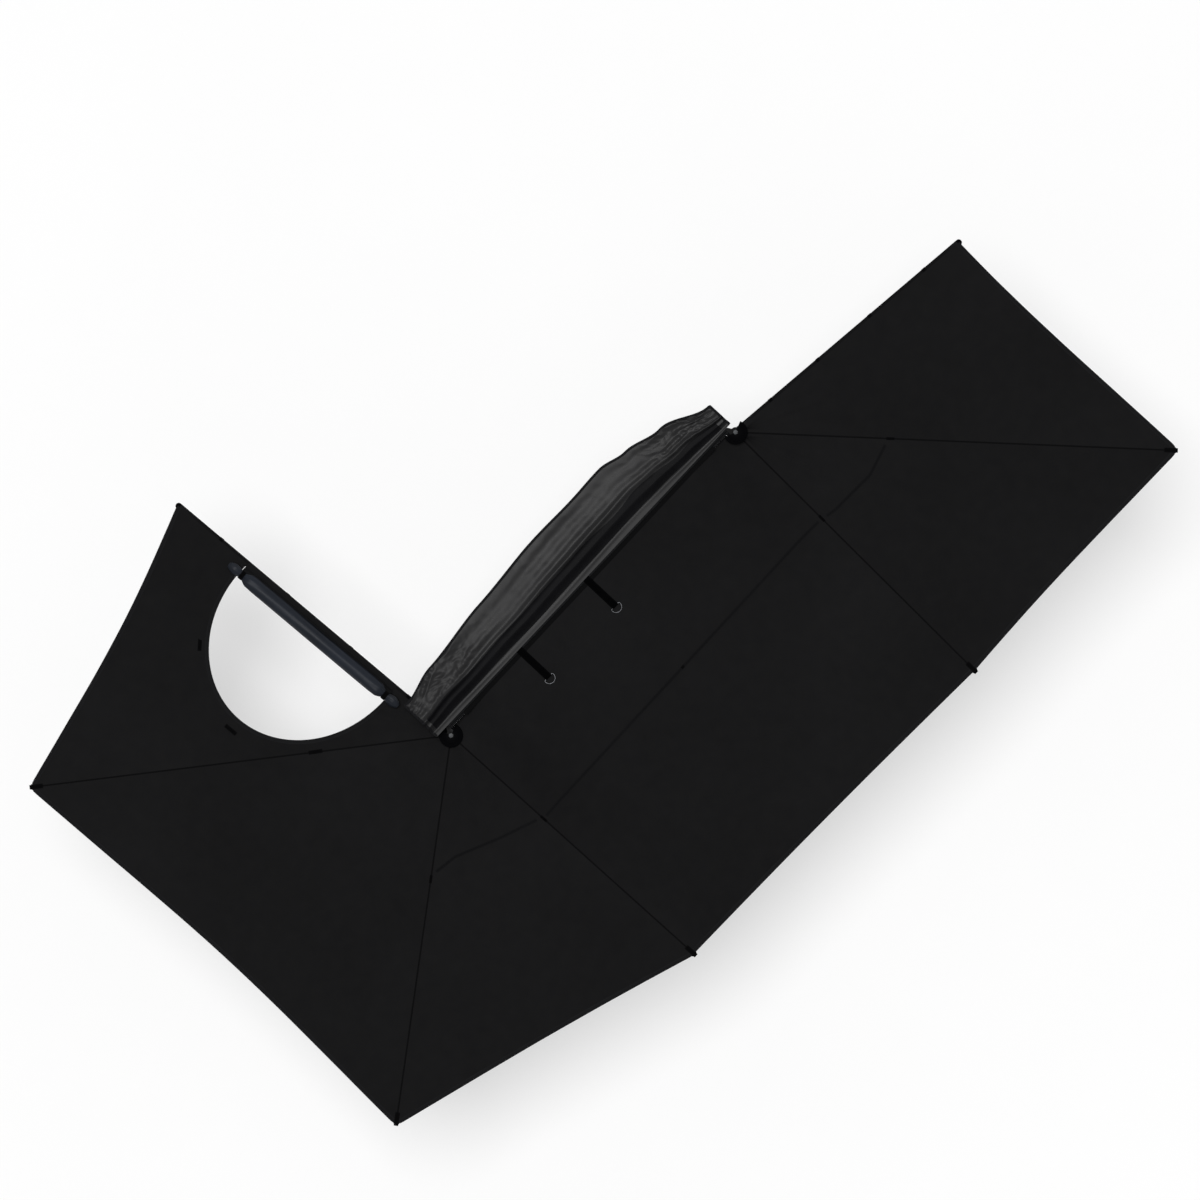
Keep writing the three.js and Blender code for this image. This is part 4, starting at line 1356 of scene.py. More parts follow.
@dataclass
class CutOut:
    """The D-shaped opening beside arm 1, placed from the rear king pin."""

    centre: Pair = (-0.130, 0.985)
    half_length: float = 0.560
    depth: float = 0.645

    def edge(self, steps: int = 96) -> Array:
        """Plan points along the opening's edge, from its inner end to its outer one."""
        turns = np.linspace(1.5 * math.pi, 0.5 * math.pi, steps)
        x = REAR.x + self.centre[0] + self.depth * np.cos(turns)
        y = PIVOT_Y + self.centre[1] + self.half_length * np.sin(turns)
        return np.stack([x, y], axis=1)

    def place(self, degrees: float, out_share: float) -> tuple[Array, float]:
        """A place just outside the edge, and the way outward there.

        Args:
            degrees: Turn of the place round the half ellipse.
            out_share: Distance outward as a share of the opening's depth.

        Returns:
            The plan place and the outward angle.
        """
        turn = math.radians(degrees)
        edge = np.array([self.depth * math.cos(turn), self.half_length * math.sin(turn)])
        out = np.array([math.cos(turn) / self.depth, math.sin(turn) / self.half_length])
        out /= np.linalg.norm(out)
        place = edge + out * out_share * self.depth + np.array(self.centre)
        return place + np.array([REAR.x, PIVOT_Y]), math.atan2(out[1], out[0])


def inside(points: Array, outline: Array) -> Array:
    """Whether each plan point lies inside a closed outline."""
    x, y = points[:, 0:1], points[:, 1:2]
    ax, ay = outline[:, 0], outline[:, 1]
    bx, by = np.roll(ax, -1), np.roll(ay, -1)
    crosses = (ay > y) != (by > y)
    cut = ax + (y - ay) / np.where(by == ay, NO_LENGTH, by - ay) * (bx - ax)
    return (crosses & (x < cut)).sum(axis=1) % 2 == 1


def spaced(line: Array, step: float) -> Array:
    """Points at even steps along a line, both ends kept."""
    run = run_along(line)
    count = max(2, int(round(run[-1] / step)) + 1)
    at = np.linspace(0.0, run[-1], count)
    return np.stack([np.interp(at, run, line[:, k]) for k in range(line.shape[1])], axis=1)


def strip(panel: Panel, line: Array, half: float, lift: float, thickness: float) -> Surface:
    """A strip of cloth that lies along a line on a panel.

    Args:
        panel: The panel that it is sewn on.
        line: Plan points of its middle line.
        half: Half of its width.
        lift: Gap between the panel and the strip.
        thickness: Its thickness.

    Returns:
        The closed strip, with U along it and V across.
    """
    ahead = unit(np.gradient(line, axis=0))
    side = np.stack([-ahead[:, 1], ahead[:, 0]], axis=1)
    offsets = np.linspace(-half, half, 5)
    plan = line[:, None] + side[:, None] * offsets[None, :, None]
    z = panel.top(plan[..., 0], plan[..., 1]) + lift + thickness
    uv = cloth_map(run_along(line)[:, None], offsets[None])
    return facing_up(grid(np.concatenate([plan, z[..., None]], axis=-1), uv)).thick(thickness)


@dataclass
class Canopy:
    """All the canopy's cloth: panels, hems, seams, patches and loops."""

    hem_half: float = 0.013
    hem_inset: float = 0.0135
    lift: float = 0.0002
    tape: float = 0.0009
    seam_half: float = 0.0045
    seamed: tuple[int, ...] = (2, 3, 4, 5, 6)
    cross_half: float = 0.0085
    cross_points: tuple[Pair, ...] = (
        (-0.637, 0.478), (-0.498, 0.499), (-0.239, 0.614), (0.044, 0.722), (0.160, 0.717),
        (2.212, 0.701), (2.359, 0.706), (2.477, 0.730), (2.764, 0.739), (2.951, 0.684),
    )
    patch_places: dict[int, float] = field(
        default_factory=lambda: {3: 0.843, 4: 0.723, 5: 0.708, 6: 0.899}
    )
    patch_length: float = 0.046
    patch_half: float = 0.0075
    loop_gap: float = 0.0012
    loop_places: tuple[float, ...] = (0.16, 0.37, 0.60, 0.84)
    tab_places: tuple[Pair, ...] = (
        (134.0, 0.0837), (182.5, 0.1225), (227.9, 0.1178),
    )
    cut: CutOut = field(default_factory=CutOut)
    panels: dict[str, Panel] = field(default_factory=dict)

    @property
    def seam_low(self) -> float:
        """Height of the seams' underside above an arm's bottom."""
        return ARM_HEIGHT + TOUCH + CLOTH + self.lift

    def __post_init__(self) -> None:
        """Lists the panels."""
        rows: list[Panel] = [
            MainHalf(
                name, Body.FRAME, arm.body, pleats=5.5, seed=11,
                pleat_near=0.070, pleat_far=0.100, arm=arm,
            )
            for name, arm in (("main_rear", ARMS[4]), ("main_front", ARMS[5]))
        ]
        rows += [
            Sector(
                name, first.body, second.body, pleats=pleats, seed=seed,
                first=first, second=second, hollow=hollow,
            )
            for name, first, second, pleats, seed, hollow in (
                ("rear_1", ARMS[4], ARMS[3], 5.5, 21, 0.002),
                ("rear_2", ARMS[3], ARMS[2], 6.5, 31, 0.03),
                ("rear_3", ARMS[2], ARMS[1], 4.5, 41, 0.029),
                ("front_1", ARMS[5], ARMS[6], 4.5, 51, 0.006),
                ("front_2", ARMS[6], ARMS[7], 4.5, 61, 0.01),
            )
        ]
        self.panels = {panel.name: panel for panel in rows}

    def build(self) -> None:
        """Builds all the cloth of the canopy."""
        for panel in self.panels.values():
            self._panel(panel)
        for number in self.seamed:
            self._seam(ARMS[number])
            self._tongue(ARMS[number])
        for arm in ARMS.values():
            self._loops(arm)
        self._cross_seams()
        self._patches()
        self._tabs()

    def _panel(self, panel: Panel) -> None:
        """Builds a panel's sheet and its outer hem."""
        plan = panel.lattice()
        if isinstance(panel, MainHalf):
            node = "canopy_main"
        else:
            node = f"canopy_{panel.name}"
        if panel.name == "rear_3":
            surface = self._cut_panel(panel, plan)
        else:
            z = panel.top(plan[..., 0], plan[..., 1])
            points = np.concatenate([plan, z[..., None]], axis=-1)
            surface = facing_up(grid(points, self._cloth_uv(plan, panel.middle())))
        area = sheet_area(surface)
        piece = make(f"panel_{panel.name}", surface.thick(CLOTH), CANVAS)
        panel.fold(piece)
        if panel.name != "main_front":
            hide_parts(node)
        hem = self._outer_hem(panel, plan)

    @staticmethod
    def _cloth_uv(plan: Array, middle: float) -> Array:
        """Cloth coordinates in metres, turned so that the threads run out from the hub."""
        cos, sin = math.cos(middle), math.sin(middle)
        x, y = plan[..., 0], plan[..., 1]
        return np.stack([x * cos - y * sin, x * sin + y * cos], axis=-1)

    def _outer_hem(self, panel: Panel, plan: Array) -> Piece:
        """The hem along a panel's outer edge."""
        edge = plan[-1]
        line = spaced(edge + unit(plan[-2] - edge) * self.hem_inset, 0.02)
        surface = strip(panel, line, self.hem_half, self.lift, self.tape)
        return panel.fold(make(f"hem_{panel.name}", surface, HEM))

    def _cut_panel(self, panel: Sector, plan: Array) -> Surface:
        """The panel with the D-shaped opening, meshed along the opening's edge.

        Args:
            panel: The panel between arms 2 and 1.
            plan: Its plan places before the opening is cut.

        Returns:
            Its open surface.
        """
        edge_step, cut_step, pin_step, least_gap = 0.022, 0.014, 0.012, 0.008
        side = plan[:, -1]
        edge = self.cut.edge()
        low, high = (
            np.array([np.interp(y, side[:, 1], side[:, 0]), y]) for y in (edge[0, 1], edge[-1, 1])
        )
        below, above = side[side[:, 1] < low[1]], side[side[:, 1] > high[1]]
        ring = np.vstack([
            spaced(np.vstack([below, low]), edge_step)[:-1],
            spaced(np.vstack([low, edge, high]), cut_step)[:-1],
            spaced(np.vstack([high, above]), edge_step)[:-1],
            spaced(plan[-1, ::-1], edge_step)[:-1],
            spaced(plan[::-1, 0], edge_step)[:-1],
            spaced(plan[0], pin_step)[:-1],
        ])
        inner = panel.lattice(100, 66)[1:-1, 1:-1].reshape(-1, 2)
        inner = inner[inside(inner, ring)]
        apart = np.sqrt(((inner[:, None] - ring[None]) ** 2).sum(axis=-1)).min(axis=1)
        inner = inner[apart > least_gap]
        count = len(ring)
        borders = [(i, (i + 1) % count) for i in range(count)]
        points = [Vector(p) for p in np.vstack([ring, inner])]
        verts, _, faces, *_ = delaunay_2d_cdt(points, borders, [list(range(count))], 1, 1e-7)
        flat = np.array([tuple(v) for v in verts])
        places = np.column_stack([flat, panel.top(flat[:, 0], flat[:, 1])])
        uv = self._cloth_uv(flat, panel.middle())
        self._cut_hem(panel, edge, low, high)
        return facing_up(Surface(places, [tuple(f) for f in faces], uv))

    def _cut_hem(self, panel: Sector, edge: Array, low: Array, high: Array) -> None:
        """The bound edge of the opening."""
        overlap, half, out_by = np.array([-0.022, 0.0]), 0.0115, 0.012
        line = spaced(np.vstack([low + overlap, edge, high + overlap]), 0.014)
        ahead = unit(np.gradient(line, axis=0))
        out = np.stack([ahead[:, 1], -ahead[:, 0]], axis=1)
        centre = np.array([REAR.x + self.cut.centre[0], PIVOT_Y + self.cut.centre[1]])
        out *= np.sign(((line - centre) * out).sum(axis=1, keepdims=True))
        surface = strip(panel, line + out * out_by, half, self.lift, self.tape)
        panel.fold(make("hem_cut_out", surface, HEM))

    @staticmethod
    def _arm_strip(
        arm: Arm, start: float, end: float, half: float, low: float, thick: float
    ) -> Surface:
        """A strip along an arm, given by its lowest height above the bar's bottom."""
        middle = low + thick / 2
        line = np.linspace((start, 0.0, middle), (end, 0.0, middle), 60)
        section = oblong(2 * half, thick, min(thick * 0.45, 0.0006), 2)
        return tube(line, section, UP).moved(arm.matrix())

    def _seam(self, arm: Arm) -> None:
        """The taped seam over an arm."""
        start, end = CLOTH_START + 0.004, arm.reach - 0.02
        surface = self._arm_strip(arm, start, end, self.seam_half, self.seam_low, self.tape)
        settle(make(f"seam_arm_{arm.number}", surface, SEAM), arm.body)

    def _tongue(self, arm: Arm) -> None:
        """The webbing tongue that holds the canopy's corner over an arm's tip."""
        top = self.seam_low + self.tape + 0.0012
        heights = (
            (-0.075, top), (-0.045, top), (-0.022, top), (-0.010, top - 0.0016),
            (-0.002, top - 0.0060), (0.0030, 0.0085), (0.0032, 0.001),
        )
        line = spaced(np.array([(arm.reach + past, 0.0, z) for past, z in heights]), 0.004)
        ahead = np.gradient(line, axis=0)
        ups = np.stack([-ahead[:, 2], np.zeros(len(line)), ahead[:, 0]], axis=1)
        surface = tube(line, oblong(0.026, 0.0018, 0.0007, 2), ups).moved(arm.matrix())
        settle(make(f"tip_tongue_{arm.number}", surface, LOOP), arm.body)

    def _loops(self, arm: Arm) -> None:
        """Webbing loops under the cloth that hold it down to its arm."""
        half_w, half_h = ARM_WIDTH / 2 + self.loop_gap, ARM_HEIGHT / 2 + self.loop_gap
        drop = self.loop_gap / 2
        path = oblong(2 * half_w, 2 * half_h - drop, 0.003, 4)
        ups = unit(np.array([(0.0, y / half_w, z / half_h) for y, z in path]))
        bands = []
        for share in self.loop_places:
            line = np.array([(share * arm.reach, y, z + ARM_HEIGHT / 2 - drop) for y, z in path])
            bands.append(tube(line, oblong(0.025, 0.0011, 0.0004, 1), ups, closed=True))
        settle(make(f"arm_loops_{arm.number}", merged(bands).moved(arm.matrix()), LOOP), arm.body)

    def _cross_seams(self) -> None:
        """The faint seam that crosses the panels round both hubs."""
        clear, past_middle, least_points, tape = 0.02, 0.02, 4, 0.0007
        points = np.array(self.cross_points)
        plan = np.column_stack([REAR.x + points[:, 0], PIVOT_Y - points[:, 1]])
        line = spaced(plan, 0.02)
        for name, panel in self.panels.items():
            angle, distance = panel.hub().polar(line[:, 0], line[:, 1])
            angle = angle - panel.start()
            near = distance * np.sin(angle)
            far = distance * np.sin(panel.spread() - angle)
            keep = (far > clear) & (angle < panel.spread())
            if isinstance(panel, MainHalf):
                keep &= line[:, 0] * panel.hub().side < past_middle
            else:
                keep &= (angle > 0.0) & (near > clear)
            if keep.sum() < least_points:
                continue
            first, last = np.flatnonzero(keep)[[0, -1]]
            surface = strip(panel, line[first : last + 1], self.cross_half, self.lift, tape)
            panel.fold(make(f"cross_seam_{name}", surface, CROSS))

    def _patches(self) -> None:
        """Small black patches where the cross seam meets the arms' seams."""
        low = self.seam_low + self.tape + 0.0001
        half = self.patch_length / 2.0
        for number, distance in self.patch_places.items():
            arm = ARMS[number]
            start, end = distance - half, distance + half
            surface = self._arm_strip(arm, start, end, self.patch_half, low, self.tape)
            settle(make(f"seam_patch_{number}", surface, PATCH), arm.body)

    def _tabs(self) -> None:
        """Three webbing tabs round the opening, each a sewn loop with a free middle."""
        runs = np.linspace(-0.040, 0.040, 41)
        arch = 0.0022 * smooth((0.026 - np.abs(runs)) / 0.02)
        section = oblong(0.022, 0.0011, 0.0004, 2)
        heights = (np.full(len(runs), 0.0006), 0.0018 + arch)
        layers = [np.column_stack([np.zeros(len(runs)), runs, z]) for z in heights]
        surface = merged([tube(layer, section, UP) for layer in layers])
        for i, (degrees, share) in enumerate(self.tab_places):
            place, facing = self.cut.place(degrees, share)
            low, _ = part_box(f"cutout_tab_{i + 1}")
            matrix = Matrix.Translation((*place, low.z)) @ Matrix.Rotation(facing, 4, "Z")
            piece = make(f"tab_{i + 1}", surface.moved(matrix), LOOP)
            self.panels["rear_3"].fold(piece)
            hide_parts(f"cutout_tab_{i + 1}")


# ---- rolled flap


@dataclass
class RolledFlap:
    """The opening's flap, rolled up beside arm 1 and tied near both ends."""

    panel: Panel
    inner: float = 0.346
    outer: float = 1.624
    radius: float = 0.050
    core: float = 0.012
    turns: float = 3.4
    thickness: float = 0.0012
    tie_width: float = 0.026
    waist: float = 0.024
    waist_from_end: float = 0.098
    stations: int = 150
    root: Pair = (0.425, 1.545)
    root_lean: float = 25.0
    root_gap: float = 0.0016
    folded_aside: float = 0.155
    middle_z: float = field(init=False)
    aside: float = field(init=False)

    def __post_init__(self) -> None:
        """Places the roll beside arm 1, at the height of its ties."""
        tie_low, tie_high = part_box("flap_tie_inner")
        self.middle_z = (tie_low.z + tie_high.z) / 2.0 - ARMS[1].low_z
        self.aside = ARM_WIDTH / 2 + self.radius + TOUCH

    def build(self) -> None:
        """Builds the roll and its ties."""
        self._roll()
        self._root()
        self._tie("inner", self.inner + self.waist_from_end)
        self._tie("outer", self.outer - self.waist_from_end)

    def _radius(self, x: Array) -> Array:
        """Outer radius of the roll along its length."""
        end = np.minimum(x - self.inner, self.outer - x)
        places = [0.0, 0.012, 0.040, 0.066, 0.085, 0.111, 0.128, 0.150, 0.20]
        radii = [0.014, 0.024, 0.0345, 0.031, self.waist, self.waist, 0.036, 0.0485, 0.0503]
        return np.interp(end, places, radii)

    def _roll(self) -> None:
        """The rolled sheet, as a spiral drawn out along the arm."""
        x = np.linspace(self.inner, self.outer, self.stations)
        turn = np.linspace(0.0, FULL_TURN * self.turns, 150)
        share = turn / turn[-1]
        rows = np.zeros((len(x), len(turn), 3))
        outer = self._radius(x)
        for i, place in enumerate(x):
            from_end = min(place - self.inner, self.outer - place)
            near_tie = hump(from_end - self.waist_from_end, 0.07)
            spiral = mix(self.core * outer[i] / self.radius, outer[i], share ** 0.9)
            phase = 1.7 * math.sin(5.0 * place) + 0.4 * math.sin(17.0 * place)
            crumple = near_tie * 0.09 * np.sin(9.0 * turn + 30.0 * place)
            crumple = crumple + 0.022 * np.sin(3.0 * turn + phase)
            crumple = crumple + 0.012 * np.sin(7.0 * turn + 9.0 * place + 2.0)
            pulled = (0.015 + np.abs(near_tie) * 0.05) * share
            spiral = spiral * (1.0 - pulled + crumple * share)
            spiral = np.minimum(spiral, outer[i] - 0.0004)
            start = 2.4 + 0.35 * math.sin(2.2 * place)
            rows[i, :, 0] = place + 0.003 * math.sin(9.0 * place) * share
            rows[i, :, 1] = self.aside + spiral * np.cos(turn + start)
            rows[i, :, 2] = self.middle_z + spiral * np.sin(turn + start)
        run = run_along(rows[len(x) // 2])
        surface = grid(rows, cloth_map(x[:, None], run[None])).flipped()
        surface = surface.thick(self.thickness, along_normals=True)
        piece = make("flap_roll", surface.moved(ARMS[1].matrix()), FLAP)
        self._fold(piece)
        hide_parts("rolled_flap")

    def _root(self) -> None:
        """The cloth that still joins the roll to arm 1 along the opening."""
        x = np.linspace(self.root[0], self.root[1], 120)
        lean = math.radians(self.root_lean)
        rise = np.linspace(0.0, 1.0, 12) ** 1.3
        low = ARM_HEIGHT + TOUCH + self.thickness
        flat = np.linspace(-0.016, ARM_WIDTH / 2 + 0.0006, 7)
        rows = np.zeros((len(x), len(flat) + len(rise) - 1, 3))
        rows[..., 0] = x[:, None]
        for i, r in enumerate(self._radius(x)):
            z = mix(low, self.middle_z + r * math.sin(lean), rise)
            line = mix(flat[-1], self.aside - r * math.cos(lean), rise)
            height = z - self.middle_z
            skin = self.aside - np.sqrt(np.maximum(r * r - height ** 2, 0.0)) - self.root_gap
            y = np.where(np.abs(height) < r, np.minimum(line, skin), line)
            rows[i, :, 1] = np.concatenate([flat, np.maximum(y[1:], flat[-1])])
            rows[i, :, 2] = np.concatenate([np.full(len(flat), low), z[1:]])
        run = run_along(rows[len(x) // 2])
        surface = facing_up(grid(rows, cloth_map(x[:, None], run[None])))
        surface = surface.thick(self.thickness, along_normals=True)
        piece = self.panel.fold(make("flap_root", surface.moved(ARMS[1].matrix()), CANVAS))

    def _fold(self, piece: Piece) -> None:
        """Bakes a piece of the flap's place into its mesh and works out its fold weights, which are
        not kept.

        Args:
            piece: The piece, with its mesh final and no parent.
        """
        self.panel.fold(piece)
        inverse = np.array(ARMS[1].matrix().inverted())
        local = positions(piece) @ inverse[:3, :3].T + inverse[:3, 3]
        spread = self.panel.spread()

    def _round(self, x: float, turns: Array, radius: Array | float) -> tuple:
        """Points round the roll's middle line at one place along it, and the ways out there."""
        cos, sin = np.cos(turns), np.sin(turns)
        along = np.full(len(turns), x)
        line = np.stack([along, self.aside + radius * cos, self.middle_z + radius * sin], axis=1)
        return line, np.stack([np.zeros(len(turns)), cos, sin], axis=1)

    def _tie(self, name: str, middle: float) -> None:
        """A webbing tie round the roll's waist, with its free tail lifted off."""
        radius = self.waist + 0.0016
        line, ups = self._round(middle, np.arange(40) * FULL_TURN / 40, radius)
        band = tube(line, oblong(self.tie_width, 0.0022, 0.0009, 3), ups, closed=True)
        turns = np.linspace(0.35, 1.25, 14)
        lifted = radius + 0.0024 + 0.010 * smooth((turns - 0.9) / 0.4)
        line, ups = self._round(middle, turns, lifted)
        tail = tube(line, oblong(self.tie_width * 0.92, 0.0018, 0.0007, 2), ups)
        surface = band.joined(tail).moved(ARMS[1].matrix())
        piece = make(f"flap_tie_{name}_fine", surface, LOOP)
        self._fold(piece)
        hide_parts(f"flap_tie_{name}")


# ---- arms and hubs


@dataclass
class ArmSet:
    """Seven arms: drawn tubes, moulded knuckles and tip caps."""

    bar_start: float = 0.0644
    wall: float = 0.002
    corner: float = 0.0022
    groove_depth: float = 0.0007
    groove_half: float = 0.0032
    cap_length: float = 0.026

    def build(self) -> None:
        """Builds every arm."""
        for arm in ARMS.values():
            self._tube(arm)
            refine(f"knuckle_{arm.number}", NYLON, arm.body, 0.0010)
            refine(f"tip_cap_{arm.number}", NYLON, arm.body, segments=3)
            self._rivets(arm)

    def _outline(self) -> Array:
        """The tube's outline, with two shallow grooves along its sides."""
        box = oblong(ARM_WIDTH, ARM_HEIGHT, self.corner)
        w, g, d = ARM_WIDTH / 2, self.groove_half, self.groove_depth
        groove = np.array([(w, -g), (w - d, d - g), (w - d, g - d), (w, g)])
        half = len(box) // 2
        return np.vstack([box[:half], -groove, box[half:], groove])

    def _tube(self, arm: Arm) -> None:
        """The drawn tube of an arm, open at both ends over the knuckle and the cap."""
        outline = self._outline()
        shrink = np.array([1.0 - 2 * self.wall / ARM_WIDTH, 1.0 - 2 * self.wall / ARM_HEIGHT])
        end = arm.reach - self.cap_length - TOUCH
        line = np.linspace((self.bar_start, 0.0, ARM_HEIGHT / 2), (end, 0.0, ARM_HEIGHT / 2), 24)
        rings = []
        for section, places in ((outline, line), (outline * shrink, line[::-1])):
            rings.extend([[(p[0], -y, p[2] + z) for y, z in section] for p in places])
        rings.append(rings[0])
        surface = grid(np.array(rings), None, round_rows=True)
        own = len(surface.points) - len(outline)  # The last ring is the first one again.
        surface.faces = [tuple(i % own for i in face) for face in surface.faces]
        surface.points = surface.points[:own]
        surface = outward(surface).moved(arm.matrix())
        piece = make(f"arm_tube_{arm.number}", surface, ARM_TUBE, HARD_CREASE)
        settle(piece, arm.body, f"arm_{arm.number}")

    def _rivets(self, arm: Arm) -> None:
        """Low round rivet heads that hold the tube to its knuckle and cap, on the underside."""
        dome = [
            (0.0, -0.0016), (0.0022, -0.0013), (0.0036, -0.0004), (0.0040, 0.0006), (0.0, 0.0006),
        ]
        head = lathe(dome, 20).flipped()
        places = (0.084, 0.122, arm.reach - 0.042)
        heads = merged([head.moved(Matrix.Translation((x, 0.0, 0.0))) for x in places])
        surface = heads.moved(arm.matrix())
        settle(make(f"arm_rivets_{arm.number}", surface, BRIGHT, HARD_CREASE), arm.body)


@dataclass
class HubSet:
    """Two hub brackets with their king pins, nuts, bolts, washers, guards and corner plates."""

    washer_outer: float = 0.0205
    washer_inner: float = 0.0087
    head_height: float = 0.0084
    guard: Pair = (0.0158, 0.0700)
    guard_thick: float = 0.0020
    guard_lip: float = 0.0050
    guard_start: float = -20.0
    under_head: float = 0.0002
    corner_x: Pair = (1.1748, 1.1555)
    corner_y: float = -0.1085
    corner_gap: float = 0.0002
    corner_thick: float = 0.0028
    corner_drop: float = 0.0004

    def build(self) -> None:
        """Builds both hubs."""
        for name in ("rear", "front"):
            refine(f"{name}_hub_bracket", BRACKET, Body.FRAME, segments=3)
            refine(f"{name}_king_pin", BRIGHT, Body.FRAME, segments=3)
            refine(f"{name}_king_nut", BRIGHT, Body.FRAME, segments=3)
            for i in (1, 2):
                refine(f"{name}_hub_bolt_{i}", BRIGHT, Body.FRAME, FINE_EDGE)
        self._washers()
        for hub, name, last in ((REAR, "rear", 255.0), (FRONT, "front", 200.0)):
            plate_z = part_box(f"{name}_king_pin")[1].z - self.head_height + self.under_head
            self._guard(hub, name, plate_z, last)
            self._corner(hub, name, plate_z - self.corner_drop)

    def _guard(self, hub: Hub, name: str, low: float, last: float) -> None:
        """A plate with a turned-down rim over a stack of arm ends.

        Args:
            hub: The king pin that it lies round.
            name: The hub's name.
            low: Height of the plate's underside.
            last: Angle in degrees, from folded, at which it ends.
        """
        inner, outer = self.guard
        top, lip = low + self.guard_thick, low - self.guard_lip
        section = [
            (inner, low), (inner, top), (0.045, top), (0.047, top + 0.0012),
            (0.053, top + 0.0012), (0.055, top), (outer - 0.003, top),
            (outer - 0.001, top - 0.0008), (outer, top - 0.003), (outer, lip),
            (outer - 0.002, lip), (outer - 0.002, low),
        ]
        turns = np.radians(np.linspace(self.guard_start, last, 90))
        rows = np.array([[(*hub.place(turn, r), z) for r, z in section] for turn in turns])
        surface = grid(rows, None, round_rows=True)
        ends = len(rows) * len(section)
        surface.faces.append(tuple(reversed(range(len(section)))))
        surface.faces.append(tuple(range(ends - len(section), ends)))
        settle(make(f"{name}_hub_guard", outward(surface), NYLON, HARD_CREASE), Body.FRAME)

    def _corner(self, hub: Hub, name: str, top: float) -> None:
        """A small plate that closes the corner between an upper hub plate and the rail.

        Args:
            hub: The king pin beside it.
            name: The hub's name.
            top: Height of its top.
        """
        side = math.copysign(1.0, hub.x)
        spans = (
            [side * x for x in self.corner_x],
            (self.corner_y, RAIL_FACE_Y - self.corner_gap),
            (top - self.corner_thick, top),
        )
        points = np.array([(x, y, z) for x in spans[0] for y in spans[1] for z in spans[2]])
        faces = [(0, 1, 3, 2), (4, 6, 7, 5), (0, 4, 5, 1), (2, 3, 7, 6), (0, 2, 6, 4), (1, 5, 7, 3)]
        surface = outward(Surface(points, faces))
        settle(make(f"{name}_corner_plate", surface, NYLON, HARD_CREASE), Body.FRAME)

    def _washers(self) -> None:
        """Nylon washers between the knuckles."""
        o, i = self.washer_outer, self.washer_inner
        ring = lathe([
            (i, 0.0016), (o - 0.0004, 0.0016), (o, 0.0012), (o, 0.0008),
            (o - 0.0004, 0.0004), (i, 0.0004), (i, 0.0016),
        ], 36)
        for hub, name, levels in ((REAR, "rear", (0, 1, 2)), (FRONT, "front", (4, 5))):
            heights = [STACK_BOTTOM_Z + n * LEVEL_PITCH + ARM_HEIGHT + 0.002 for n in levels]
            at = [Matrix.Translation((hub.x, PIVOT_Y, z)) for z in heights]
            surface = merged([ring.moved(place) for place in at])
            settle(make(f"{name}_hub_washers", surface, NYLON, HARD_CREASE), Body.FRAME)


@dataclass
class BackRail:
    """The extruded back rail with the canopy's edge bead in its groove."""

    end_x: float = 1.175
    bead_radius: float = 0.0032
    bead_depth: float = 0.0058
    bead_from_end: float = 0.12

    def build(self) -> None:
        """Builds the rail, its bead and the mounting brackets."""
        refine("back_rail", RAIL, Body.FRAME, 0.0006)
        self._bead()
        for name in ("rear", "middle", "front"):
            refine(f"mounting_bracket_{name}", BRACKET, Body.FRAME, segments=3)
            for i in (1, 2):
                refine(f"mounting_bolt_{name}_{i}", BRIGHT, Body.FRAME, FINE_EDGE)

    def _bead(self) -> None:
        """A bead of cloth in the groove, and its tongue over the rail's front edge."""
        end = self.end_x - self.bead_from_end
        x = np.linspace(-end, end, 120)
        path = [
            (GROOVE_Y + 0.0011, RAIL_TOP_Z - 0.0060), (GROOVE_Y + 0.0008, RAIL_TOP_Z - 0.0020),
            (GROOVE_Y + 0.0002, RAIL_TOP_Z + 0.0004), (GROOVE_Y - 0.0020, RAIL_TOP_Z + 0.0010),
            (RAIL_FACE_Y + 0.004, RAIL_TOP_Z + 0.0009), (RAIL_FACE_Y + 0.0008, RAIL_TOP_Z + 0.0008),
            (RAIL_FACE_Y - 0.0006, RAIL_TOP_Z + 0.0004), (RAIL_FACE_Y - 0.012, RAIL_TOP_Z + 0.0011),
        ]
        line = spaced(np.array(path), 0.0022)
        rows = np.zeros((len(x), len(line), 3))
        rows[..., 0] = x[:, None]
        rows[..., 1], rows[..., 2] = line[None, :, 0], line[None, :, 1]
        uv = cloth_map(x[:, None], run_along(line)[None] - 0.018)
        tongue = facing_up(grid(rows, uv)).thick(0.0007, along_normals=True)
        middle_z = RAIL_TOP_Z - self.bead_depth
        bead_line = np.column_stack([x, np.full(len(x), GROOVE_Y), np.full(len(x), middle_z)])
        bead = tube(bead_line, circle(self.bead_radius, 14), UP)
        settle(make("canopy_rail_edge", tongue.joined(bead), SEAM), Body.FRAME)


# ---- straps and cover


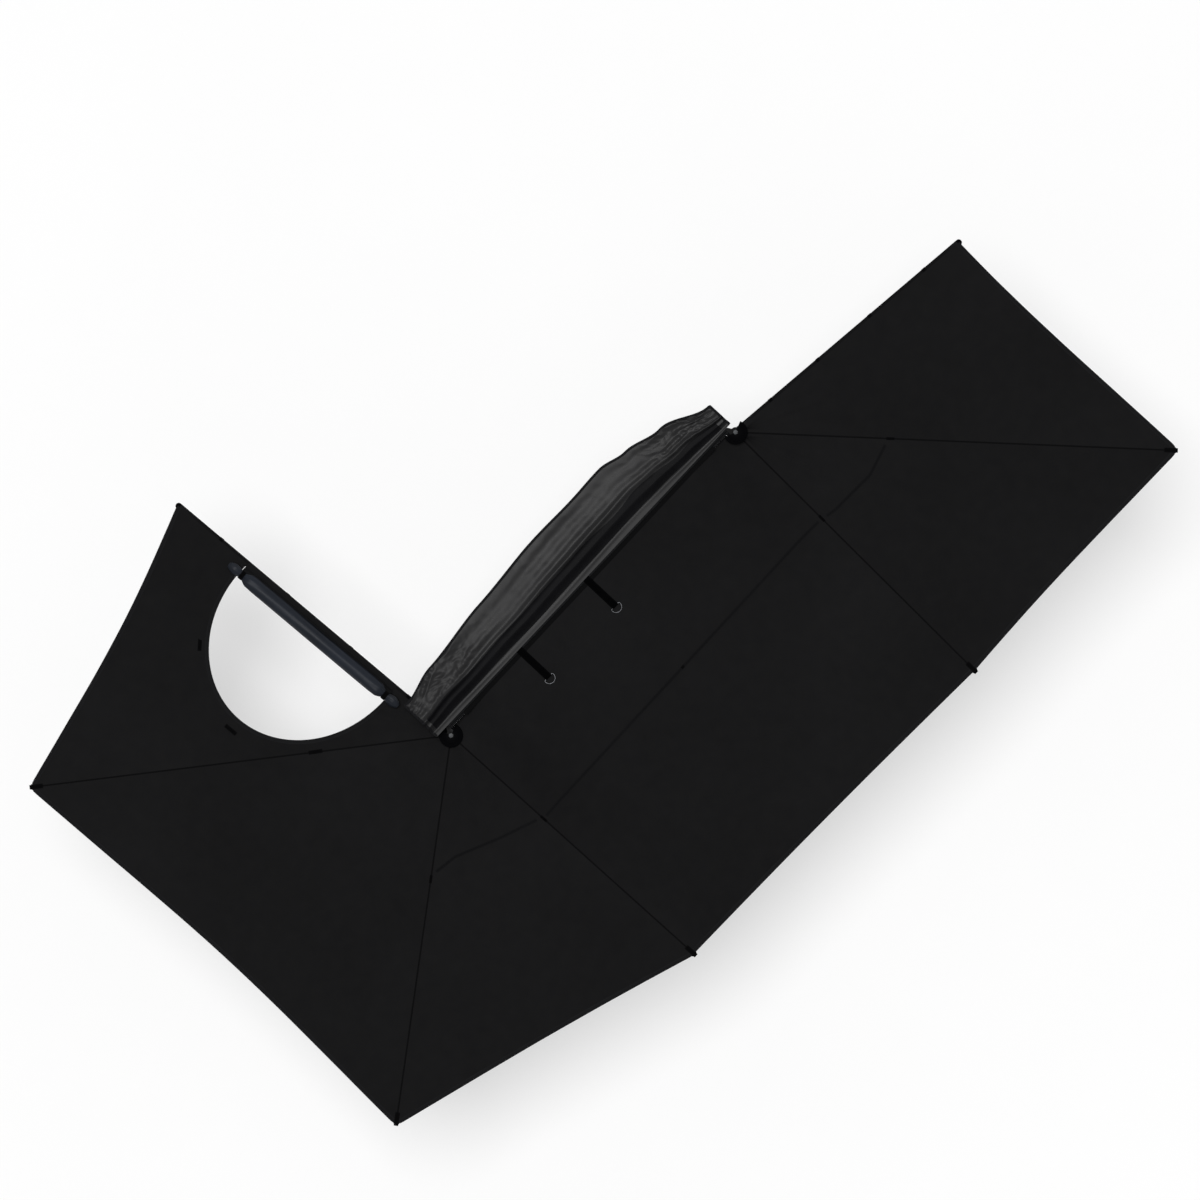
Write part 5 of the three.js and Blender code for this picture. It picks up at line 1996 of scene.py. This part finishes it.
@dataclass
class StrapSet:
    """Two webbing straps on the canopy, each with a D ring in its end loop."""

    width: float = 0.044
    thickness: float = 0.0022
    bore: float = 0.0033
    loop_wall: float = 0.0024
    tail: float = 0.0125
    ring_half: float = 0.033
    wire: float = 0.0025
    ring_corner: float = 0.008

    def build(self) -> None:
        """Builds both straps and rings."""
        for name, body in (("rear", Body.RING_REAR), ("front", Body.RING_FRONT)):
            self._strap(name)
            self._ring(name, body)

    def _strap(self, name: str) -> None:
        """A strap from under the cover's edge, over the rail and the canopy, to its end loop."""
        low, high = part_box(f"strap_{name}")
        x = (low.x + high.x) / 2.0
        bar_y = low.y + self.bore + self.loop_wall
        half = self.thickness / 2.0
        base = low.z + half
        bar_z = low.z + self.loop_wall + self.bore
        radius = self.bore + half
        turns = np.linspace(-math.pi / 2, -1.5 * math.pi, 18)
        loop = [(bar_y + radius * math.cos(t), bar_z + radius * math.sin(t)) for t in turns]
        lead = [
            (GROOVE_Y + self.tail, base + 0.0004), (GROOVE_Y - 0.006, base), (bar_y + 0.012, base),
        ]
        back = [
            (bar_y + 0.010, bar_z + radius - 0.0014), (bar_y + 0.020, base + 0.0026),
            (bar_y + 0.062, base + 0.0025),
        ]
        path = spaced(np.array(lead + loop + back), 0.0022)
        line = np.column_stack([np.full(len(path), x), path])
        ahead = np.gradient(line, axis=0)
        ups = np.stack([np.zeros(len(line)), ahead[:, 2], -ahead[:, 1]], axis=1)
        surface = tube(line, oblong(self.width, self.thickness, 0.0009, 3), ups)
        surface = surface.joined(self._bar_tacks(x, bar_y, base))
        settle(make(f"strap_{name}_fine", surface, WEBBING), Body.FRAME, f"strap_{name}")

    @staticmethod
    def _bar_tacks(x: float, bar_y: float, base: float) -> Surface:
        """Raised threads of the sewn box that closes the end loop, its sides and its cross."""
        z, stitch_rise, points = base + 0.0040, 0.0002, 16
        left, right, near, far = x - 0.016, x + 0.016, bar_y + 0.024, bar_y + 0.056
        a, b, c, d = (left, near), (right, near), (left, far), (right, far)
        threads = []
        for (ax, ay), (bx, by) in ((a, b), (c, d), (a, c), (b, d), (a, d), (b, c)):
            line = np.linspace((ax, ay, z), (bx, by, z), points)
            line[:, 2] += stitch_rise * np.cos(np.arange(points) * math.pi)
            threads.append(tube(line, circle(0.0006, 6), UP))
        return merged(threads)

    def _ring(self, name: str, body: Body) -> None:
        """The D ring, bent from round wire."""
        low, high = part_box(f"strap_ring_{name}")
        x, y = (low.x + high.x) / 2.0, high.y - self.wire
        z = (low.z + high.z) / 2.0
        side, corner = self.ring_half - self.ring_corner, self.ring_corner
        arcs = (
            (side, corner, math.pi / 2, 0.0, 9),
            (0.0, self.ring_half, 0.0, -math.pi, 40),
            (-side, corner, math.pi, math.pi / 2, 9),
        )
        points = []
        for cx, radius, start, end, steps in arcs:
            for k in range(steps):
                turn = mix(start, end, k / (steps - 1))
                across, out = radius * math.cos(turn), radius * math.sin(turn)
                place = (x + cx + across, y - corner + out, z)
                if not points or math.dist(points[-1], place) > WELD:
                    points.append(place)
        surface = tube(np.array(points), circle(self.wire, 16), UP, closed=True)
        settle(make(f"strap_ring_{name}_fine", surface, RING, 40.0), body, f"strap_ring_{name}")


@dataclass
class StorageCover:
    """The opened cover, laid back over the brackets in lengthwise folds."""

    start_x: float = -1.262
    end_x: float = 1.215
    near_y: float = -0.0626
    reach: float = 0.423
    pin_distance: float = 2.41
    places: tuple[float, ...] = (
        -0.5137, -0.4162, -0.2232, -0.0357, 0.1212, 0.2112, 0.2842, 0.3805, 0.5041,
    )
    reaches: tuple[float, ...] = (0.733, 0.844, 0.934, 0.995, 0.993, 1.0, 0.917, 0.775, 0.508)
    sway: float = 0.26
    squeeze: float = 0.4
    flat_width: float = 0.46
    shade_band_width: float = 0.125
    folds: tuple[Colour, ...] = (
        (0.075, 0.035, 0.0035, 0.7), (0.43, 0.05, 0.019, 1.0), (0.60, 0.07, 0.006, 0.634),
        (0.80, 0.09, 0.008, 0.805),
    )
    thickness: float = 0.0016
    rows: int = 230
    columns: int = 90

    def build(self) -> None:
        """Builds the cover, a dark band of painted shade in its long fold, and its binding."""
        x = np.linspace(self.start_x, self.end_x, self.rows)
        across = np.linspace(0.0, 1.0, self.columns)
        gx, ga = np.meshgrid(x, across, indexing="ij")
        gy = self._across(gx, ga)
        gz = self.height(gx, ga)
        surface = self._open_sheet(gx, gy, gz)
        area = sheet_area(surface)
        surface = surface.thick(self.thickness, along_normals=True)
        piece = make("cover_sheet", surface, COVER)
        settle(piece, Body.FRAME, "storage_cover")
        self._shade_band()
        binding = self._binding(gx, gy, gz)
        LOG.info("the cover is %.3f square metres", area)

    @staticmethod
    def _open_sheet(gx: Array, gy: Array, gz: Array) -> Surface:
        """The open surface through a grid of places, with cloth coordinates in plan."""
        uv = np.stack([gx, gy], axis=-1)
        return facing_up(grid(np.stack([gx, gy, gz], axis=-1), uv))

    def _edge(self, x: Array) -> Array:
        """Distance of the far edge from the king pins' line."""
        places, reaches = np.array(self.places) * self.pin_distance, np.array(self.reaches)
        at = np.clip(np.searchsorted(places, x, side="right"), 1, len(places) - 1)
        share = smooth((x - places[at - 1]) / (places[at] - places[at - 1]))
        return self.reach * mix(reaches[at - 1], reaches[at], share)

    def height(self, x: Array, across: Array) -> Array:
        """Height of the cover's top, with its folds and creases.

        Args:
            x: Places along the rail.
            across: Shares from the rail to the far edge.

        Returns:
            Heights.
        """
        rail_z, laid_z, edge_drop, least_z = 0.1164, 0.052, 0.014, 0.0125
        start = 0.11 + 0.012 * np.sin(x / self.sway)
        fall = smooth((across - start) / 0.16)
        z = mix(rail_z, laid_z, fall) - edge_drop * smooth((across - 0.55) / 0.45)
        for place, width, height, wave in self.folds:
            turn = x / (wave * 0.41)
            strength = 0.75 + 0.25 * np.cos(2.0 * turn)
            fold = hump(across - place - 0.03 * np.sin(turn), width)
            z = z + height * strength * fold * smooth(across / 0.13)
        free = smooth((across - 0.05) / 0.2)
        ends = smooth((np.abs(x) - 0.55) / 0.5) * smooth((across - 0.35) / 0.2)
        squeezed = across * self.squeeze
        z = z + free * 0.0030 * billow(x, squeezed, 83, 0.3)
        for where, depth, seed, size in (
            (free, 0.0012, 87, 0.12), (ends, 0.0075, 91, 0.17), (ends, 0.0070, 97, 0.08),
        ):
            z = z + where * depth * np.abs(billow(x, squeezed, seed, size))
        return np.maximum(z, least_z)

    def _across(self, x: Array, across: Array) -> Array:
        """Plan Y at places along the rail and shares across the cover."""
        sway = 0.004 * billow(x, across * self.squeeze, 71, 0.4) * smooth(across * 3.0)
        return mix(self.near_y, PIVOT_Y + self._edge(x), across) + sway

    def _shade_band(self) -> None:
        """A dark sheet laid in the cover's long fold, as painted shade of the fold's valley."""
        least_lift = 0.0006
        x = np.linspace(self.start_x + 0.03, self.end_x - 0.05, self.rows)
        gx, gs = np.meshgrid(x, np.linspace(0.0, 1.0, 26), indexing="ij")
        low = 0.125 + 0.014 * np.sin(gx / self.sway) + 0.010 * billow(gx, gx * 0.0, 95, 0.5)
        high = 0.375 + 0.020 * billow(gx, gx * 0.0, 97, 0.45) + 0.06 * smooth((-gx - 0.7) / 0.4)
        ga = mix(low, high, gs)
        gy = self._across(gx, ga)
        lift = least_lift + 0.0016 * np.sin(math.pi * gs)
        lift = lift + 0.0022 * gs * (1.0 - gs) * billow(gx, gs * 0.1, 99, 0.2)
        gz = self.height(gx, ga) + np.maximum(lift, least_lift) + self.thickness
        surface = self._open_sheet(gx, gy, gz)
        area = sheet_area(surface)
        surface = surface.thick(self.thickness, along_normals=True)
        piece = make("cover_shade_band", surface, COVER_SHADE_BAND)
        settle(piece, Body.FRAME)

    def _binding(self, gx: Array, gy: Array, gz: Array) -> Piece:
        """Webbing binding round the cover's free edges."""
        places = np.stack([gx, gy, gz], axis=-1)
        line = spaced(np.vstack([places[0, 1:], places[1:, -1], places[-1, -2:0:-1]]), 0.008)
        line[:, 2] -= self.thickness / 2.0
        surface = tube(line, oblong(0.016, 0.0034, 0.0016, 3), UP)
        return settle(make("cover_binding", surface, COVER_EDGE), Body.FRAME)


def main() -> None:
    """Builds the whole awning and its studio."""
    logging.basicConfig(level=logging.INFO, format="%(name)s: %(message)s")
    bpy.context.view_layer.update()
    Studio().build()
    BackRail().build()
    HubSet().build()
    ArmSet().build()
    canopy = Canopy()
    canopy.build()
    RolledFlap(canopy.panels["rear_3"]).build()
    StrapSet().build()
    StorageCover().build()


if __name__ == "__main__":
    main()
